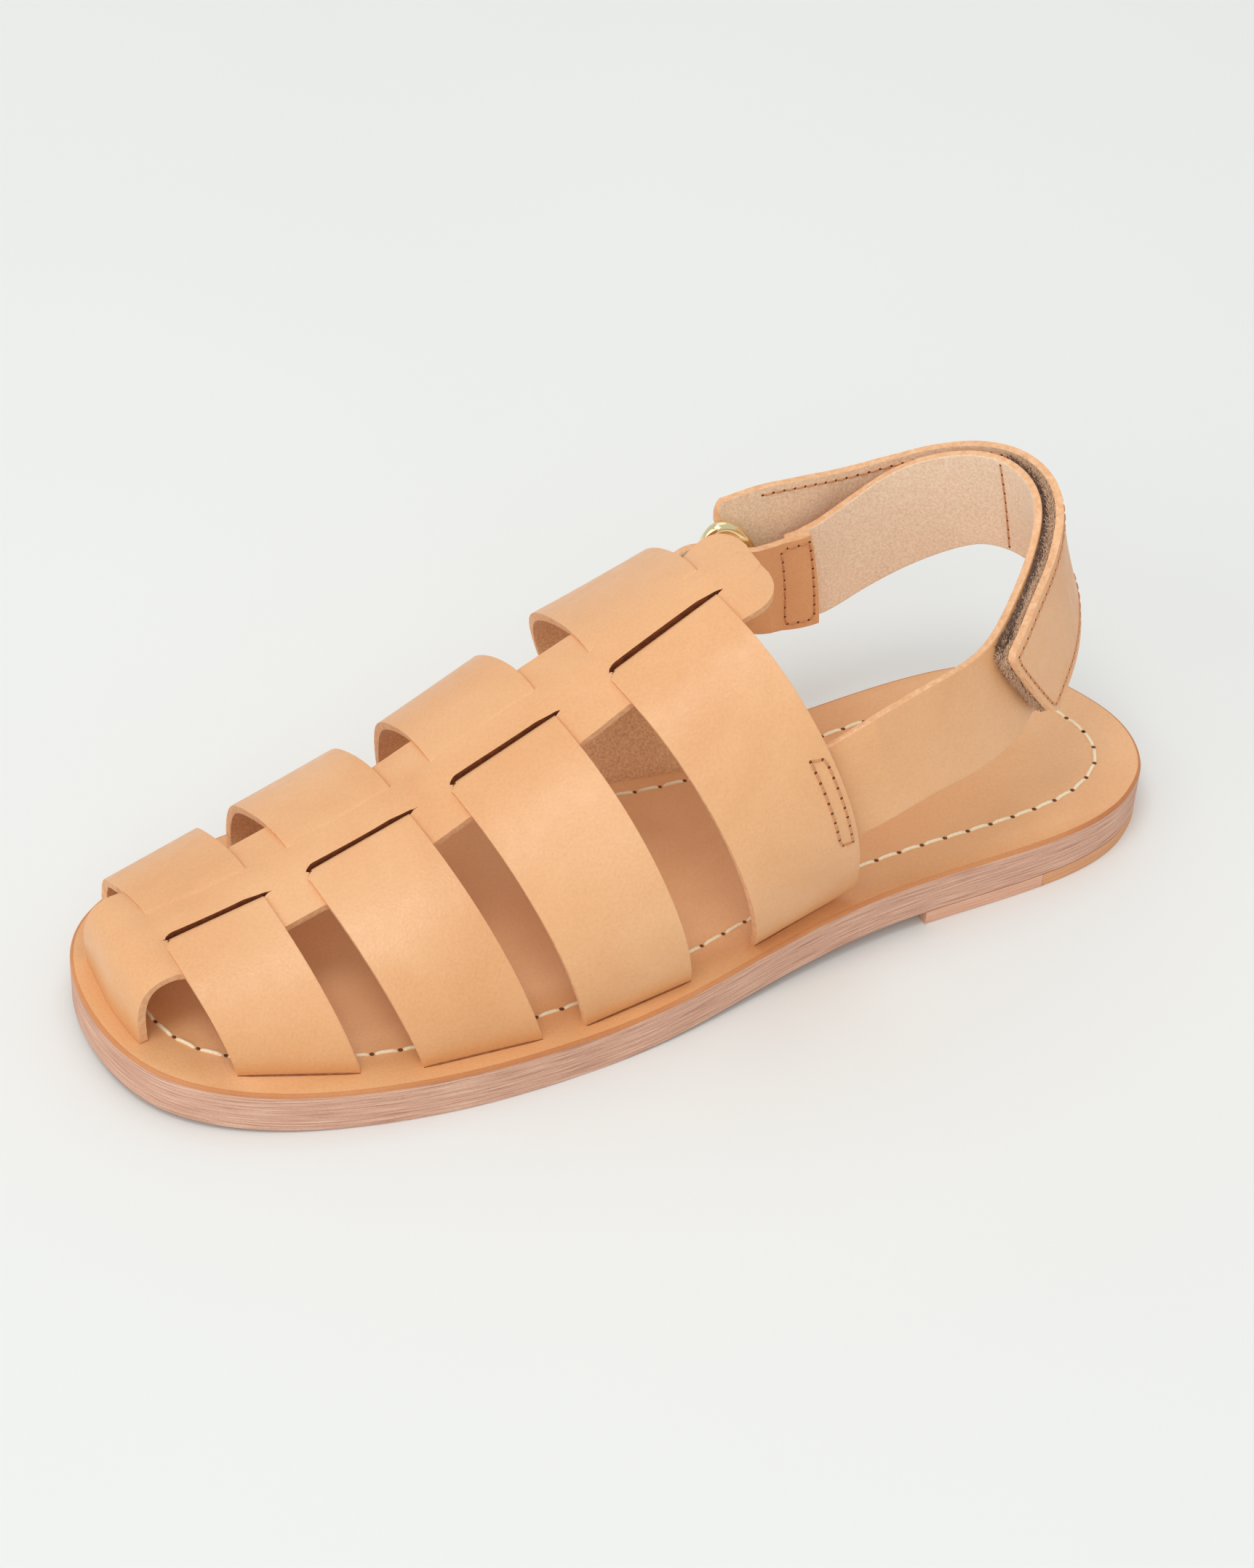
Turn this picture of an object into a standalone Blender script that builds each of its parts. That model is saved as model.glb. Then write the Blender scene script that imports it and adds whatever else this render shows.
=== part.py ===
"""Caged leather sandal, left shoe: leather sole, woven cage upper and hook-and-loop heel strap.

Lengths are written in millimetres and brought to metres when a mesh is made.
Stations run from the heel end (0) to the toe end (SOLE_LENGTH); +Y is the outer (lateral) side.
"""
import math

import bmesh
import bpy
import numpy as np
from mathutils import Vector

MM = 0.001

# Sole sizes
SOLE_LENGTH = 252.0
SOLE_THICK = 10.0
OUTSOLE_THICK = 3.3
MIDSOLE_THICK = 2.8
FOOTBED_THICK = 3.3
HEEL_HEIGHT = 3.5
HEEL_FLAT_END = 75.0
TREAD_START = 160.0
TREAD_END = 200.0
TOE_SPRING = 2.2
HEEL_BREAST = 70.0
HEEL_SEAM = 39.0
EDGE_ROUND = 0.7
SEAT = 0.3

# Leather and weave sizes
LEATHER = 2.0
HIGH = -1.0
LOW = -2.7
FREE = -1.85
SPINE_HALF = 14.0
SLIT_OFFSET = 4.6
SLIT_HALF = 0.9
WEAVE_RAMP = 4.4
TONGUE_ROUND = 9.0
TONGUE_CURL = 3.2
STRAP_INSERT = 2.4
LEAN = 0.7

# Heel strap sizes
STRAP_HALF = 13.0
STRAP_LEATHER = 1.8
SLING_SEAT = 47.2
SLING_FLARE = 14.4
TUCK = 0.6
TAPE_THICK = 1.0
RING_WIRE = 1.5
RING_HALF_GAP = 6.6
RING_HALF_TALL = 15.2
RING_TURN = math.radians(-10.0)
RING_HEIGHT = 47.5
RING_LEAN = 0.21
TAB_SEAT = 42.6
TAB_SLOPE = 4.5
TAB_MIDDLE = 46.0
TAB_HALF = 11.5
TAB_FOLD_HALF = 10.2
TAB_GAP = 3.4
FOLD_REACH = 5.4
FOLD_HALF = 11.8
FOLD_GAP = 3.9
FOLD_LEAN = 0.38
FOLD_SQUARE = 0.7
FOLD_SHARE = 0.995

# Outline of the sole: station, lateral edge, medial edge
OUTLINE = np.array([
    (0, 2, 2),
    (2, 12.5, -9),
    (5, 18, -16.5),
    (10, 23, -24),
    (15, 26.5, -28),
    (30, 31.5, -32),
    (50, 33, -32),
    (80, 34, -29.5),
    (110, 38.5, -30),
    (140, 44.5, -38),
    (165, 46.5, -46),
    (185, 46, -46.5),
    (205, 43, -44.5),
    (225, 37, -39.5),
    (240, 28, -31.5),
    (248, 17.5, -22),
    (252, -3, -3),
], dtype=float)

# Cage sections, one row at each strap edge from the toe back. Crest: station, side, height.
# Each side: station and offset where the strap meets the footbed, roundness, bulge, height of the bulge.
# The inner side also sweeps forwards below the crest.
SECTION_COLUMNS = ("crest_x", "crest_y", "crest_z",
                   "lat_x", "lat_y", "lat_round", "lat_bulge", "lat_high",
                   "med_x", "med_y", "med_round", "med_bulge", "med_high", "med_sweep")
SECTIONS = np.array([
    (237.0, -1.0, 29.5, 230.5, 28.5, 2.20, 0.5, 0.75, 238.0, -30.5, 2.25, 1.0, 0.75, 1.5),
    (215.0, -1.0, 34.5, 207.0, 37.0, 2.10, 0.5, 0.75, 214.5, -37.0, 2.15, 1.5, 0.75, 1.5),
    (206.0, -1.0, 37.5, 194.5, 40.5, 2.10, 0.5, 0.75, 206.0, -39.5, 2.15, 1.5, 0.75, 1.5),
    (182.5, -1.5, 45.5, 168.5, 42.5, 2.10, 0.5, 0.75, 181.0, -42.5, 2.20, 2.5, 0.75, 1.5),
    (173.5, -2.0, 49.5, 158.5, 42.5, 2.25, 2.0, 0.80, 168.0, -41.5, 2.40, 3.0, 0.75, 1.5),
    (149.5, -2.0, 61.0, 132.5, 39.5, 2.50, 4.5, 0.80, 142.0, -35.5, 2.85, 11.0, 0.90, 2.5),
    (137.5, -2.5, 67.6, 115.5, 36.0, 2.90, 7.0, 0.80, 122.5, -28.0, 2.75, 23.0, 1.05, 1.5),
    (112.5, -3.0, 81.2, 88.0, 30.5, 3.50, 10.0, 0.95, 95.5, -23.5, 2.70, 26.0, 1.10, 1.0),
])
COL = {name: k for k, name in enumerate(SECTION_COLUMNS)}

# Front of the toe and end of the tongue, on the centre line
TOE_STATION = 247.5
TOE_SQUARE = 2.6
TOE_BULGE = 1.2
TONGUE_STATION = 100.5
TONGUE_HEIGHT = 84.0

# Middle line of the heel strap, outer side to the ring: station, side, height, lean inwards (degrees)
HEEL_LOOP = np.array([
    (93.5, 36.6, 51.2, 10),
    (74.5, 33.5, 54.5, 12),
    (56.5, 27.5, 55.0, 16),
    (42.0, 17.0, 58.5, 19),
    (30.0, 3.5, 63.0, 18),
    (26.0, -7.5, 68.0, 16),
    (28.0, -17.5, 69.5, 11),
    (35.5, -27.5, 66.0, 9),
    (45.5, -35.0, 57.5, 6),
    (55.5, -37.5, 51.0, 2),
    (65.5, -38.0, 47.0, 0),
    (77.6, -40.2, 46.6, 0),
])

# Closure strap outside the loop: share of the loop, gap to the loop line, rise along the strap's width
CLOSURE = np.array([
    (0.253, 4.8, -3.0),
    (0.334, 4.8, -1.0),
    (0.456, 4.8, -1.0),
    (0.537, 4.8, -0.5),
    (0.608, 4.8, -1.0),
    (0.689, 4.8, -1.0),
    (0.780, 4.8, 1.5),
    (0.856, 5.5, 5.3),
    (0.922, 4.8, 10.0),
    (0.960, 4.3, 10.8),
    (0.995, 3.9, 9.4),
])
TAIL_SLANT = 0.055
SPLICE_SHARE = 0.907
SPLICE_SLANT = 0.015
SLING_END_SHARE = 0.962
TAPE_END_SHARE = 0.608
UPRIGHT = (0.73, 0.87)

# Leather colours, linear
TAN = (0.72, 0.42, 0.22, 1.0)
FOOTBED_TAN = (0.60, 0.30, 0.13, 1.0)
SOLE_BROWN = (0.40, 0.21, 0.15, 1.0)
LIFT_BROWN = (0.45, 0.25, 0.17, 1.0)
TOP_PIECE_TAN = (0.58, 0.32, 0.16, 1.0)
GOLD = (0.83, 0.69, 0.40, 1.0)
HOOK_BROWN = (0.22, 0.13, 0.08, 1.0)
LOOP_BROWN = (0.30, 0.19, 0.12, 1.0)

for old in list(bpy.data.objects):
    bpy.data.objects.remove(old, do_unlink=True)

PARTS = bpy.data.collections.new("caged_sandal")
CUTTERS = bpy.data.collections.new("caged_sandal_cutters")
for group in (PARTS, CUTTERS):
    bpy.context.scene.collection.children.link(group)

ORIGIN = bpy.data.objects.new("sandal_origin", None)
PARTS.objects.link(ORIGIN)


# Small helpers

def material(name, colour, rough, metal=0.0):
    """Principled material of one piece."""
    made = bpy.data.materials.new(name)
    made.use_nodes = True
    shader = made.node_tree.nodes["Principled BSDF"]
    shader.inputs["Base Color"].default_value = colour
    shader.inputs["Roughness"].default_value = rough
    shader.inputs["Metallic"].default_value = metal
    made.diffuse_color = colour
    return made


def add_object(name, mesh, look=None, cutter=False):
    """Link a mesh as a piece of the sandal, or as a cutter."""
    made = bpy.data.objects.new(name, mesh)
    if cutter:
        made.hide_render = True
        made.display_type = "WIRE"
        CUTTERS.objects.link(made)
    else:
        mesh.materials.append(look)
        PARTS.objects.link(made)
        made.parent = ORIGIN
    return made


def boolean(target, other, operation):
    """Exact Boolean modifier."""
    step = target.modifiers.new(operation.lower() + "_" + other.name, "BOOLEAN")
    step.operation = operation
    step.object = other
    step.solver = "EXACT"
    return step


def spline(knots, values, at):
    """Natural cubic spline of one or more columns."""
    knots = np.asarray(knots, float)
    values = np.asarray(values, float)
    flat = values.ndim == 1
    if flat:
        values = values[:, None]
    n = len(knots)
    step = np.diff(knots)
    system = np.eye(n)
    right = np.zeros_like(values)
    for i in range(1, n - 1):
        system[i, i - 1] = step[i - 1]
        system[i, i] = 2 * (step[i - 1] + step[i])
        system[i, i + 1] = step[i]
        right[i] = 6 * ((values[i + 1] - values[i]) / step[i] - (values[i] - values[i - 1]) / step[i - 1])
    bend = np.linalg.solve(system, right)
    at = np.atleast_1d(np.asarray(at, float))
    k = np.clip(np.searchsorted(knots, at) - 1, 0, n - 2)
    h = step[k][:, None]
    a = (knots[k + 1] - at)[:, None] / h
    b = (at - knots[k])[:, None] / h
    out = a * values[k] + b * values[k + 1]
    out += ((a ** 3 - a) * bend[k] + (b ** 3 - b) * bend[k + 1]) * h * h / 6
    return out[:, 0] if flat else out


def grid_mesh(name, grid):
    """Open surface through a grid of points, rows by columns."""
    rows, cols = grid.shape[:2]
    shape = bmesh.new()
    bmesh.ops.create_grid(shape, x_segments=cols - 1, y_segments=rows - 1, size=0.5)
    for vert in shape.verts:
        col = int(round((vert.co.x + 0.5) * (cols - 1)))
        row = int(round((vert.co.y + 0.5) * (rows - 1)))
        vert.co = Vector(grid[row, col]) * MM
    bmesh.ops.recalc_face_normals(shape, faces=shape.faces)
    mesh = bpy.data.meshes.new(name)
    shape.to_mesh(mesh)
    shape.free()
    return mesh


def thicken(item, thick):
    """Give an open surface its leather thickness, half to each side."""
    step = item.modifiers.new("leather", "SOLIDIFY")
    step.thickness = thick * MM
    step.offset = 0.0
    step.use_even_offset = True
    step.use_quality_normals = True
    return step


def unit(vectors):
    """Unit vectors along the last axis."""
    return vectors / np.maximum(np.linalg.norm(vectors, axis=-1, keepdims=True), 1e-9)


# Sole

def under_sole(x):
    """Height of the outsole's underside: heel seat, waist, flat tread and toe spring."""
    x = np.asarray(x, float)
    fall = np.clip((TREAD_START - x) / (TREAD_START - HEEL_FLAT_END), 0, 1)
    spring = np.clip((x - TREAD_END) / (SOLE_LENGTH - TREAD_END), 0, 1)
    return HEEL_HEIGHT * (3 * fall ** 2 - 2 * fall ** 3) + TOE_SPRING * spring ** 2


def footbed_top(x):
    """Height of the footbed's upper face."""
    return under_sole(x) + SOLE_THICK


def sole_edges(x):
    """Lateral and medial edge of the outline at a station."""
    turn = np.arccos(1 - 2 * OUTLINE[:, 0] / SOLE_LENGTH)
    at = np.arccos(np.clip(1 - 2 * np.asarray(x, float) / SOLE_LENGTH, -1, 1))
    return spline(turn, OUTLINE[:, 1:], at)


def stations(start, end, count):
    """Stations that crowd towards the round ends of the sole."""
    low = math.acos(1 - 2 * start / SOLE_LENGTH)
    high = math.acos(max(1 - 2 * end / SOLE_LENGTH, -1))
    made = SOLE_LENGTH / 2 * (1 - np.cos(np.linspace(low, high, count)))
    if start < TREAD_START < end:
        for edge in (TREAD_START, TREAD_END):
            made[np.argmin(abs(made - edge))] = edge
    return made


def sole_layer(name, look, low, high, start=0.0, end=SOLE_LENGTH, count=40, round_top=0.0):
    """Loft of the outline between two heights over the underside."""
    xs = stations(start, end, count)
    edges = sole_edges(xs)
    shape = bmesh.new()
    rings = []
    for x, (lateral, medial) in zip(xs, edges):
        corners = ((lateral, low(x)), (lateral, high(x)), (medial, high(x)), (medial, low(x)))
        if lateral - medial < 0.01:
            corners = corners[:2]
        rings.append([shape.verts.new(Vector((x, y, z)) * MM) for y, z in corners])
    for one, two in zip(rings[:-1], rings[1:]):
        if len(one) == 2:
            one = [one[0], one[1], one[1], one[0]]
        if len(two) == 2:
            two = [two[0], two[1], two[1], two[0]]
        for k in range(4):
            loop = [one[k], one[(k + 1) % 4], two[(k + 1) % 4], two[k]]
            loop = [v for i, v in enumerate(loop) if v not in loop[:i]]
            if len(loop) > 2:
                shape.faces.new(loop)
    for ring in (rings[0], rings[-1]):
        if len(ring) == 4:
            shape.faces.new(ring)
    bmesh.ops.recalc_face_normals(shape, faces=shape.faces)
    mesh = bpy.data.meshes.new(name)
    shape.to_mesh(mesh)
    shape.free()
    made = add_object(name, mesh, look)
    if round_top:
        step = made.modifiers.new("edge", "BEVEL")
        step.width = round_top * MM
        step.segments = 2
        step.limit_method = "ANGLE"
        step.angle_limit = math.radians(50)
    return made


# Cage sections

def section(row, side, count=121):
    """Points of one cage section from its crest to the footbed on one side."""
    key = "lat" if side > 0 else "med"
    crest = row[:3]
    tails = ("_x", "_y", "_round", "_bulge", "_high")
    base_x, base_y, roundness, bulge, high = (row[COL[key + tail]] for tail in tails)
    turn = np.linspace(0, math.pi / 2, count)
    across = np.sin(turn) ** (2 / roundness)
    up = np.clip(np.cos(turn), 0, 1) ** (2 / roundness)
    base_z = float(footbed_top(base_x))
    x = crest[0] + (base_x - crest[0]) * (1 - up) ** LEAN
    y = crest[1] + (base_y - crest[1]) * across + side * bulge * np.sin(math.pi * up ** high)
    if side < 0:
        x = x + row[COL["med_sweep"]] * np.sin(math.pi * up ** 3)
    z = base_z + (crest[2] - base_z) * up
    return np.stack([x, y, z], axis=1)


def run_length(points):
    """Length along a line of points."""
    return np.concatenate([[0], np.cumsum(np.linalg.norm(np.diff(points, axis=0), axis=1))])


def along(points, length, at):
    """Points at given lengths along a line."""
    return np.stack([np.interp(at, length, points[:, k]) for k in range(3)], axis=1)


def beside(row, side, offset):
    """Point of a section at a distance to one side of its crest."""
    line = section(row, side)
    reach = abs(line[:, 1] - row[COL["crest_y"]])
    top = int(np.argmax(reach))
    return np.array([np.interp(offset, reach[:top + 1], line[:top + 1, k]) for k in range(3)])


def lift_along_normal(grid, lift):
    """Move a grid of points along its own outward normals."""
    down = np.gradient(grid, axis=0)
    across = np.gradient(grid, axis=1)
    normal = unit(np.cross(across, down))
    centre = grid.reshape(-1, 3).mean(axis=0) * np.array([1.0, 0.3, 0.2])
    if np.sum(normal * (grid - centre)) < 0:
        normal = -normal
    return grid + normal * np.asarray(lift)[..., None]


STRAP_SIDE_STEPS = 11
CORNER_STEPS = (4.5, 2.8, 1.2, 0.0)
CORNER_ROUND = 5.0


def strap_edge(row):
    """Points and lifts along one edge of a cross strap, outer foot to inner foot."""
    slit_out = SLIT_OFFSET + SLIT_HALF
    slit_in = SLIT_OFFSET - SLIT_HALF
    points = []
    lifts = []
    for side in (1, -1):
        line = section(row, side)
        start = beside(row, side, slit_out)
        length = run_length(line)
        first = float(np.interp(-start[2], -line[:, 2], length))
        upper = np.linspace(first, length[-1] - 2 * CORNER_ROUND, STRAP_SIDE_STEPS)
        steps = along(line, length, np.concatenate([upper, length[-1] - np.array(CORNER_STEPS)]))
        foot = steps[-1] - np.array([0, 0, STRAP_INSERT])
        inner = beside(row, side, slit_in)
        points.append(np.vstack([inner, steps, foot]))
        lifts.append([LOW] + [HIGH] * (len(steps) + 1))
    crest = row[:3][None]
    line = np.vstack([points[0][::-1], crest, points[1]])
    lift = np.array(lifts[0][::-1] + [LOW] + lifts[1])
    return line, lift


def round_corner(line):
    """Forward shift that rounds the lower rear corners of the last strap."""
    shift = np.zeros_like(line)
    for ends in (line[:8], line[::-1][:8]):
        low = ends[1, 2]
        rows = [k for k in range(len(line)) if line[k, 1] * ends[1, 1] > 0]
        rise = np.clip(line[rows, 2] - low, 0, CORNER_ROUND)
        shift[rows, 0] = CORNER_ROUND - np.sqrt(CORNER_ROUND ** 2 - (CORNER_ROUND - rise) ** 2)
    return shift


def cross_strap(number, columns=3):
    """Open surface of a cross strap between its front and rear edge."""
    front, lift = strap_edge(SECTIONS[2 * number])
    rear, _ = strap_edge(SECTIONS[2 * number + 1])
    if number == 3:
        rear = rear + round_corner(rear)
    share = np.linspace(0, 1, columns + 1)[None, :, None]
    grid = front[:, None] * (1 - share) + rear[:, None] * share
    return lift_along_normal(grid, np.repeat(lift[:, None], columns + 1, axis=1))


def toe_row(turn):
    """Section row of the toe front, from the first strap (0) down to the footbed (1)."""
    row = SECTIONS[0].copy()
    angle = turn * math.pi / 2
    floor = float(footbed_top(TOE_STATION))
    forward = (TOE_STATION - row[COL["crest_x"]]) * math.sin(angle) ** (2 / TOE_SQUARE)
    row[COL["crest_x"]] += forward + TOE_BULGE * math.sin(2 * angle)
    row[COL["crest_z"]] = floor + (row[COL["crest_z"]] - floor) * math.cos(angle) ** (2 / TOE_SQUARE)
    row[COL["lat_x"]] += 7 * turn + 2 * math.sin(2 * angle)
    row[COL["med_x"]] += 0.5 * turn + 2 * math.sin(2 * angle)
    return row


def tongue_row(share):
    """Section row behind the last strap, out to the tongue's end."""
    row = SECTIONS[-1].copy()
    shift = (TONGUE_STATION - row[COL["crest_x"]]) * share
    for name in ("crest_x", "lat_x", "med_x"):
        row[COL[name]] += shift
    row[COL["crest_z"]] += (TONGUE_HEIGHT - row[COL["crest_z"]]) * (1 - (1 - share) ** 2)
    return row


def spine_rows():
    """Section rows along the spine, toe to tongue, with the free level and the share of weave at each."""
    rows = [(toe_row(turn), HIGH, 0.0) for turn in (1.0, 0.9, 0.76, 0.6, 0.42, 0.22)]
    for k in range(4):
        front = SECTIONS[2 * k]
        rear = SECTIONS[2 * k + 1]
        if k:
            before = SECTIONS[2 * k - 1]
            lead = before[0] - front[0]
            for gap, share in ((WEAVE_RAMP, 0.0), (WEAVE_RAMP / 2, 0.5)):
                rows.append((front + (before - front) * gap / lead, FREE, share))
        for part in (0.0, 0.5, 1.0):
            rows.append((front + (rear - front) * part, FREE, 1.0))
        after = tongue_row(1.0) if k == 3 else SECTIONS[2 * k + 2]
        rows.append((rear + (after - rear) * WEAVE_RAMP / 2 / (rear[0] - after[0]), FREE, 0.5))
    rows += [(tongue_row(share), FREE, 0.0) for share in (0.36, 0.55, 0.75, 0.9, 1.0)]
    return rows


def spine_surface():
    """Open surface of the toe piece and its long tongue, woven through the cross straps."""
    marks = np.array([SPINE_HALF, 9.5, SLIT_OFFSET + 0.6, SLIT_OFFSET - 0.6, 0.0])
    grid = []
    lift = []
    for row, free, woven in spine_rows():
        to_end = row[0] - TONGUE_STATION
        half = SPINE_HALF
        if to_end < TONGUE_ROUND:
            half += math.sqrt(max(TONGUE_ROUND ** 2 - (TONGUE_ROUND - to_end) ** 2, 0.01)) - TONGUE_ROUND
        spread = marks * half / SPINE_HALF
        ahead = min(to_end / (SECTIONS[-1, 0] - TONGUE_STATION), 1)
        curl = TONGUE_CURL * (1 - ahead ** 2)
        inner = [beside(row, -1, gap) + (0, 0, curl * (gap / SPINE_HALF) ** 2) for gap in spread[-2::-1]]
        grid.append([beside(row, 1, gap) for gap in spread] + inner)
        margin = free + (LOW - free) * woven
        centre = free + (HIGH - free) * woven
        lift.append([margin] * 3 + [centre] * 3 + [margin] * 3)
    lifted = lift_along_normal(np.array(grid), np.array(lift))
    foot = lifted[:1] - np.array([0, 0, STRAP_INSERT])
    return np.concatenate([foot, lifted])


# Heel strap

def loop_line(share):
    """Points of the heel strap's middle line with the lean at each."""
    knots = run_length(HEEL_LOOP[:, :3])
    return spline(knots / knots[-1], HEEL_LOOP, share)


def loop_frame(share):
    """Middle point, outward, upward and forward direction along the heel strap."""
    step = 1e-3
    share = np.asarray(share, float)
    forward = unit((loop_line(share + step) - loop_line(share - step))[:, :3])
    out = unit(np.stack([forward[:, 1], -forward[:, 0], 0 * share], axis=1))
    rise = np.cross(forward, out)
    rise = rise * np.sign(rise[:, 2:3])
    line = loop_line(share)
    lean = np.radians(line[:, 3:4])
    up = rise * np.cos(lean) - out * np.sin(lean)
    face = out * np.cos(lean) + rise * np.sin(lean)
    return line[:, :3], face, up, forward


ACROSS = np.linspace(1, -1, 5)


def strap_rows(share, gap, rise, half, upright=(2.0, 3.0)):
    """Rows of a strap laid beside the heel loop, turned upright between two shares of it."""
    share = np.broadcast_to(np.reshape(share, (len(share), -1)), (len(share), len(ACROSS)))
    columns = []
    for k, across in enumerate(ACROSS):
        middle, face, up, _ = loop_frame(share[:, k])
        stand = np.interp(share[:, k], upright, (0, 1))[:, None]
        up = unit(up * (1 - stand) + np.array([0, 0, 1.0]) * stand)
        wide = np.broadcast_to(half, len(share))[:, None] * across
        columns.append(middle + face * gap(share[:, k])[:, None] + up * (rise(share[:, k])[:, None] + wide))
    return np.stack(columns, axis=1)


def level(value):
    """Constant gap or rise along a strap."""
    return lambda share: np.full(len(share), float(value))


def closure_gap(share):
    """Gap of the closure strap to the loop line."""
    return spline(CLOSURE[:, 0], CLOSURE[:, 1], share)


def closure_rise(share):
    """Rise of the closure strap over the loop line."""
    return spline(CLOSURE[:, 0], CLOSURE[:, 2], share)


def slanted(start, end, count):
    """Shares of rows that turn from straight across to the slant of the tail's end."""
    ends = end + TAIL_SLANT * (1 - ACROSS) / 2
    part = np.linspace(0, 1, count)[:, None]
    return start + (ends[None, :] - start) * part


def seat_row(number, share, side, height, lift, half=STRAP_HALF):
    """Row of a strap that lies against the inside of a cross strap."""
    line = section(SECTIONS[2 * number], side) * (1 - share) + section(SECTIONS[2 * number + 1], side) * share
    length = run_length(line)
    middle = float(np.interp(-height, -line[:, 2], length))
    spots = along(line, length, middle - ACROSS * half)
    tangent = unit(np.gradient(spots, axis=0))
    width = unit((section(SECTIONS[2 * number + 1], side) - section(SECTIONS[2 * number], side)).mean(axis=0))
    normal = unit(np.cross(tangent, width))
    normal *= np.sign(normal[:, 1:2]) * side
    return spots + normal * lift


def ribbon(name, rows, look, thick):
    """Leather strip through rows of points."""
    made = add_object(name, grid_mesh(name, np.array(rows)), look)
    thicken(made, thick)
    return made


def leaned(rows, lean):
    """Rows that lean forwards with the ring, by a share of their height over its middle."""
    ahead = np.array([math.cos(RING_TURN), math.sin(RING_TURN), 0])
    lean = np.broadcast_to(lean, len(rows))[:, None, None]
    return rows + ahead * lean * (rows[:, :, 2:] - RING_HEIGHT)


def closure_rows():
    """Rows of the closure strap: splice, round the ring's rear bar, and back outside to the tail."""
    part = np.linspace(1, 0, 7)[:, None]
    inner_share = FOLD_SHARE + (SPLICE_SHARE + SPLICE_SLANT * (1 - ACROSS) / 2 - FOLD_SHARE) * part
    inner_gap = lambda share: np.interp(share, [SLING_END_SHARE, FOLD_SHARE], [-2.2, -FOLD_GAP])
    inner_half = FOLD_HALF + (STRAP_HALF - FOLD_HALF) * part[:, 0]
    inner = strap_rows(inner_share, inner_gap, level(0), inner_half, (SLING_END_SHARE, FOLD_SHARE))
    middle, face, _, forward = (rows[0] for rows in loop_frame(np.array([FOLD_SHARE])))
    forward = unit(forward * np.array([1.0, 1.0, 0]))
    up = np.array([0, 0, 1.0])
    turns = np.radians((22, 45, 68, 90, 112, 135, 158))
    fold = []
    for turn in turns:
        late = np.clip((turn / math.pi * 180 - 84) / 96, 0, 1)
        climb = CLOSURE[-1, 2] * (3 * late ** 2 - 2 * late ** 3)
        round_ring = np.sign(math.cos(turn)) * abs(math.cos(turn)) ** FOLD_SQUARE * FOLD_GAP
        row = middle - face * round_ring + up * (climb + ACROSS[:, None] * FOLD_HALF)
        fold.append(row + forward * FOLD_REACH * math.sin(turn) ** FOLD_SQUARE)
    outer_share = slanted(FOLD_SHARE, CLOSURE[0, 0], 32)
    outer_half = np.interp(np.arange(32), [0, 4], [FOLD_HALF, STRAP_HALF])
    outer = strap_rows(outer_share, closure_gap, closure_rise, outer_half, UPRIGHT)
    inner = leaned(inner, np.interp(part[:, 0], [0, 0.5], [RING_LEAN, 0]))
    fold = leaned(np.array(fold), np.interp(turns, np.radians([90, 135]), [RING_LEAN, FOLD_LEAN]))
    outer = leaned(outer, np.interp(np.arange(32), [0, 5], [FOLD_LEAN, 0]))
    return np.concatenate([inner, fold, outer])


def ring_bar(side):
    """Middle of the ring's rear (-1) or front (+1) side."""
    rear = loop_frame(np.array([FOLD_SHARE]))[0][0]
    along_ring = np.array([math.cos(RING_TURN), math.sin(RING_TURN), 0])
    spot = rear + along_ring * RING_HALF_GAP * (1 + side)
    spot[2] = RING_HEIGHT
    return spot


def tab_rows():
    """Rows of the ring tab: under the rear strap, round the ring's front bar and back."""
    outer_lift = -(LEATHER + SEAT + TUCK + STRAP_LEATHER / 2)
    inner_lift = outer_lift - STRAP_LEATHER - SEAT
    bar = ring_bar(1) * (1, 1, 0) + (0, 0, TAB_MIDDLE)
    out = np.array([math.sin(RING_TURN), -math.cos(RING_TURN), 0])
    forward = np.array([math.cos(RING_TURN), math.sin(RING_TURN), 0])
    up = np.array([0, 0, 1.0])
    tail_out = []
    tail_in = []
    for share in (0.5, 0.75, 1.0):
        seat = TAB_SEAT - TAB_SLOPE * (1 - share)
        tail_out.append(seat_row(3, share, -1, seat, outer_lift, TAB_HALF))
        tail_in.insert(0, seat_row(3, share, -1, seat, inner_lift, TAB_HALF))
    fold = []
    for turn in np.radians((0, 22, 45, 68, 90, 112, 135, 158, 180)):
        row = bar + out * TAB_GAP * math.cos(turn) + up * ACROSS[:, None] * TAB_FOLD_HALF
        fold.append(row - forward * FOLD_REACH * math.sin(turn))
    fold = leaned(np.array(fold), RING_LEAN)
    return np.concatenate([tail_out, fold, tail_in])


# Pieces of the sole

under = under_sole
sole_layer("outsole", material("outsole_leather", SOLE_BROWN, 0.7), under, lambda x: under(x) + OUTSOLE_THICK)
sole_layer("midsole", material("midsole_leather", SOLE_BROWN, 0.7),
           lambda x: under(x) + OUTSOLE_THICK + SEAT,
           lambda x: under(x) + OUTSOLE_THICK + SEAT + MIDSOLE_THICK)
footbed = sole_layer("footbed", material("footbed_leather", FOOTBED_TAN, 0.5),
                     lambda x: footbed_top(x) - FOOTBED_THICK, footbed_top, round_top=EDGE_ROUND)
sole_layer("heel_lift", material("lift_leather", LIFT_BROWN, 0.7), lambda x: 0.0 * x,
           lambda x: under(x) - SEAT, HEEL_SEAM + SEAT / 2, HEEL_BREAST, 8)
sole_layer("heel_top_piece", material("top_piece_leather", TOP_PIECE_TAN, 0.6), lambda x: 0.0 * x,
           lambda x: under(x) - SEAT, 0.0, HEEL_SEAM - SEAT / 2, 14)

# Cage upper: spine joined with the four cross straps

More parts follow.
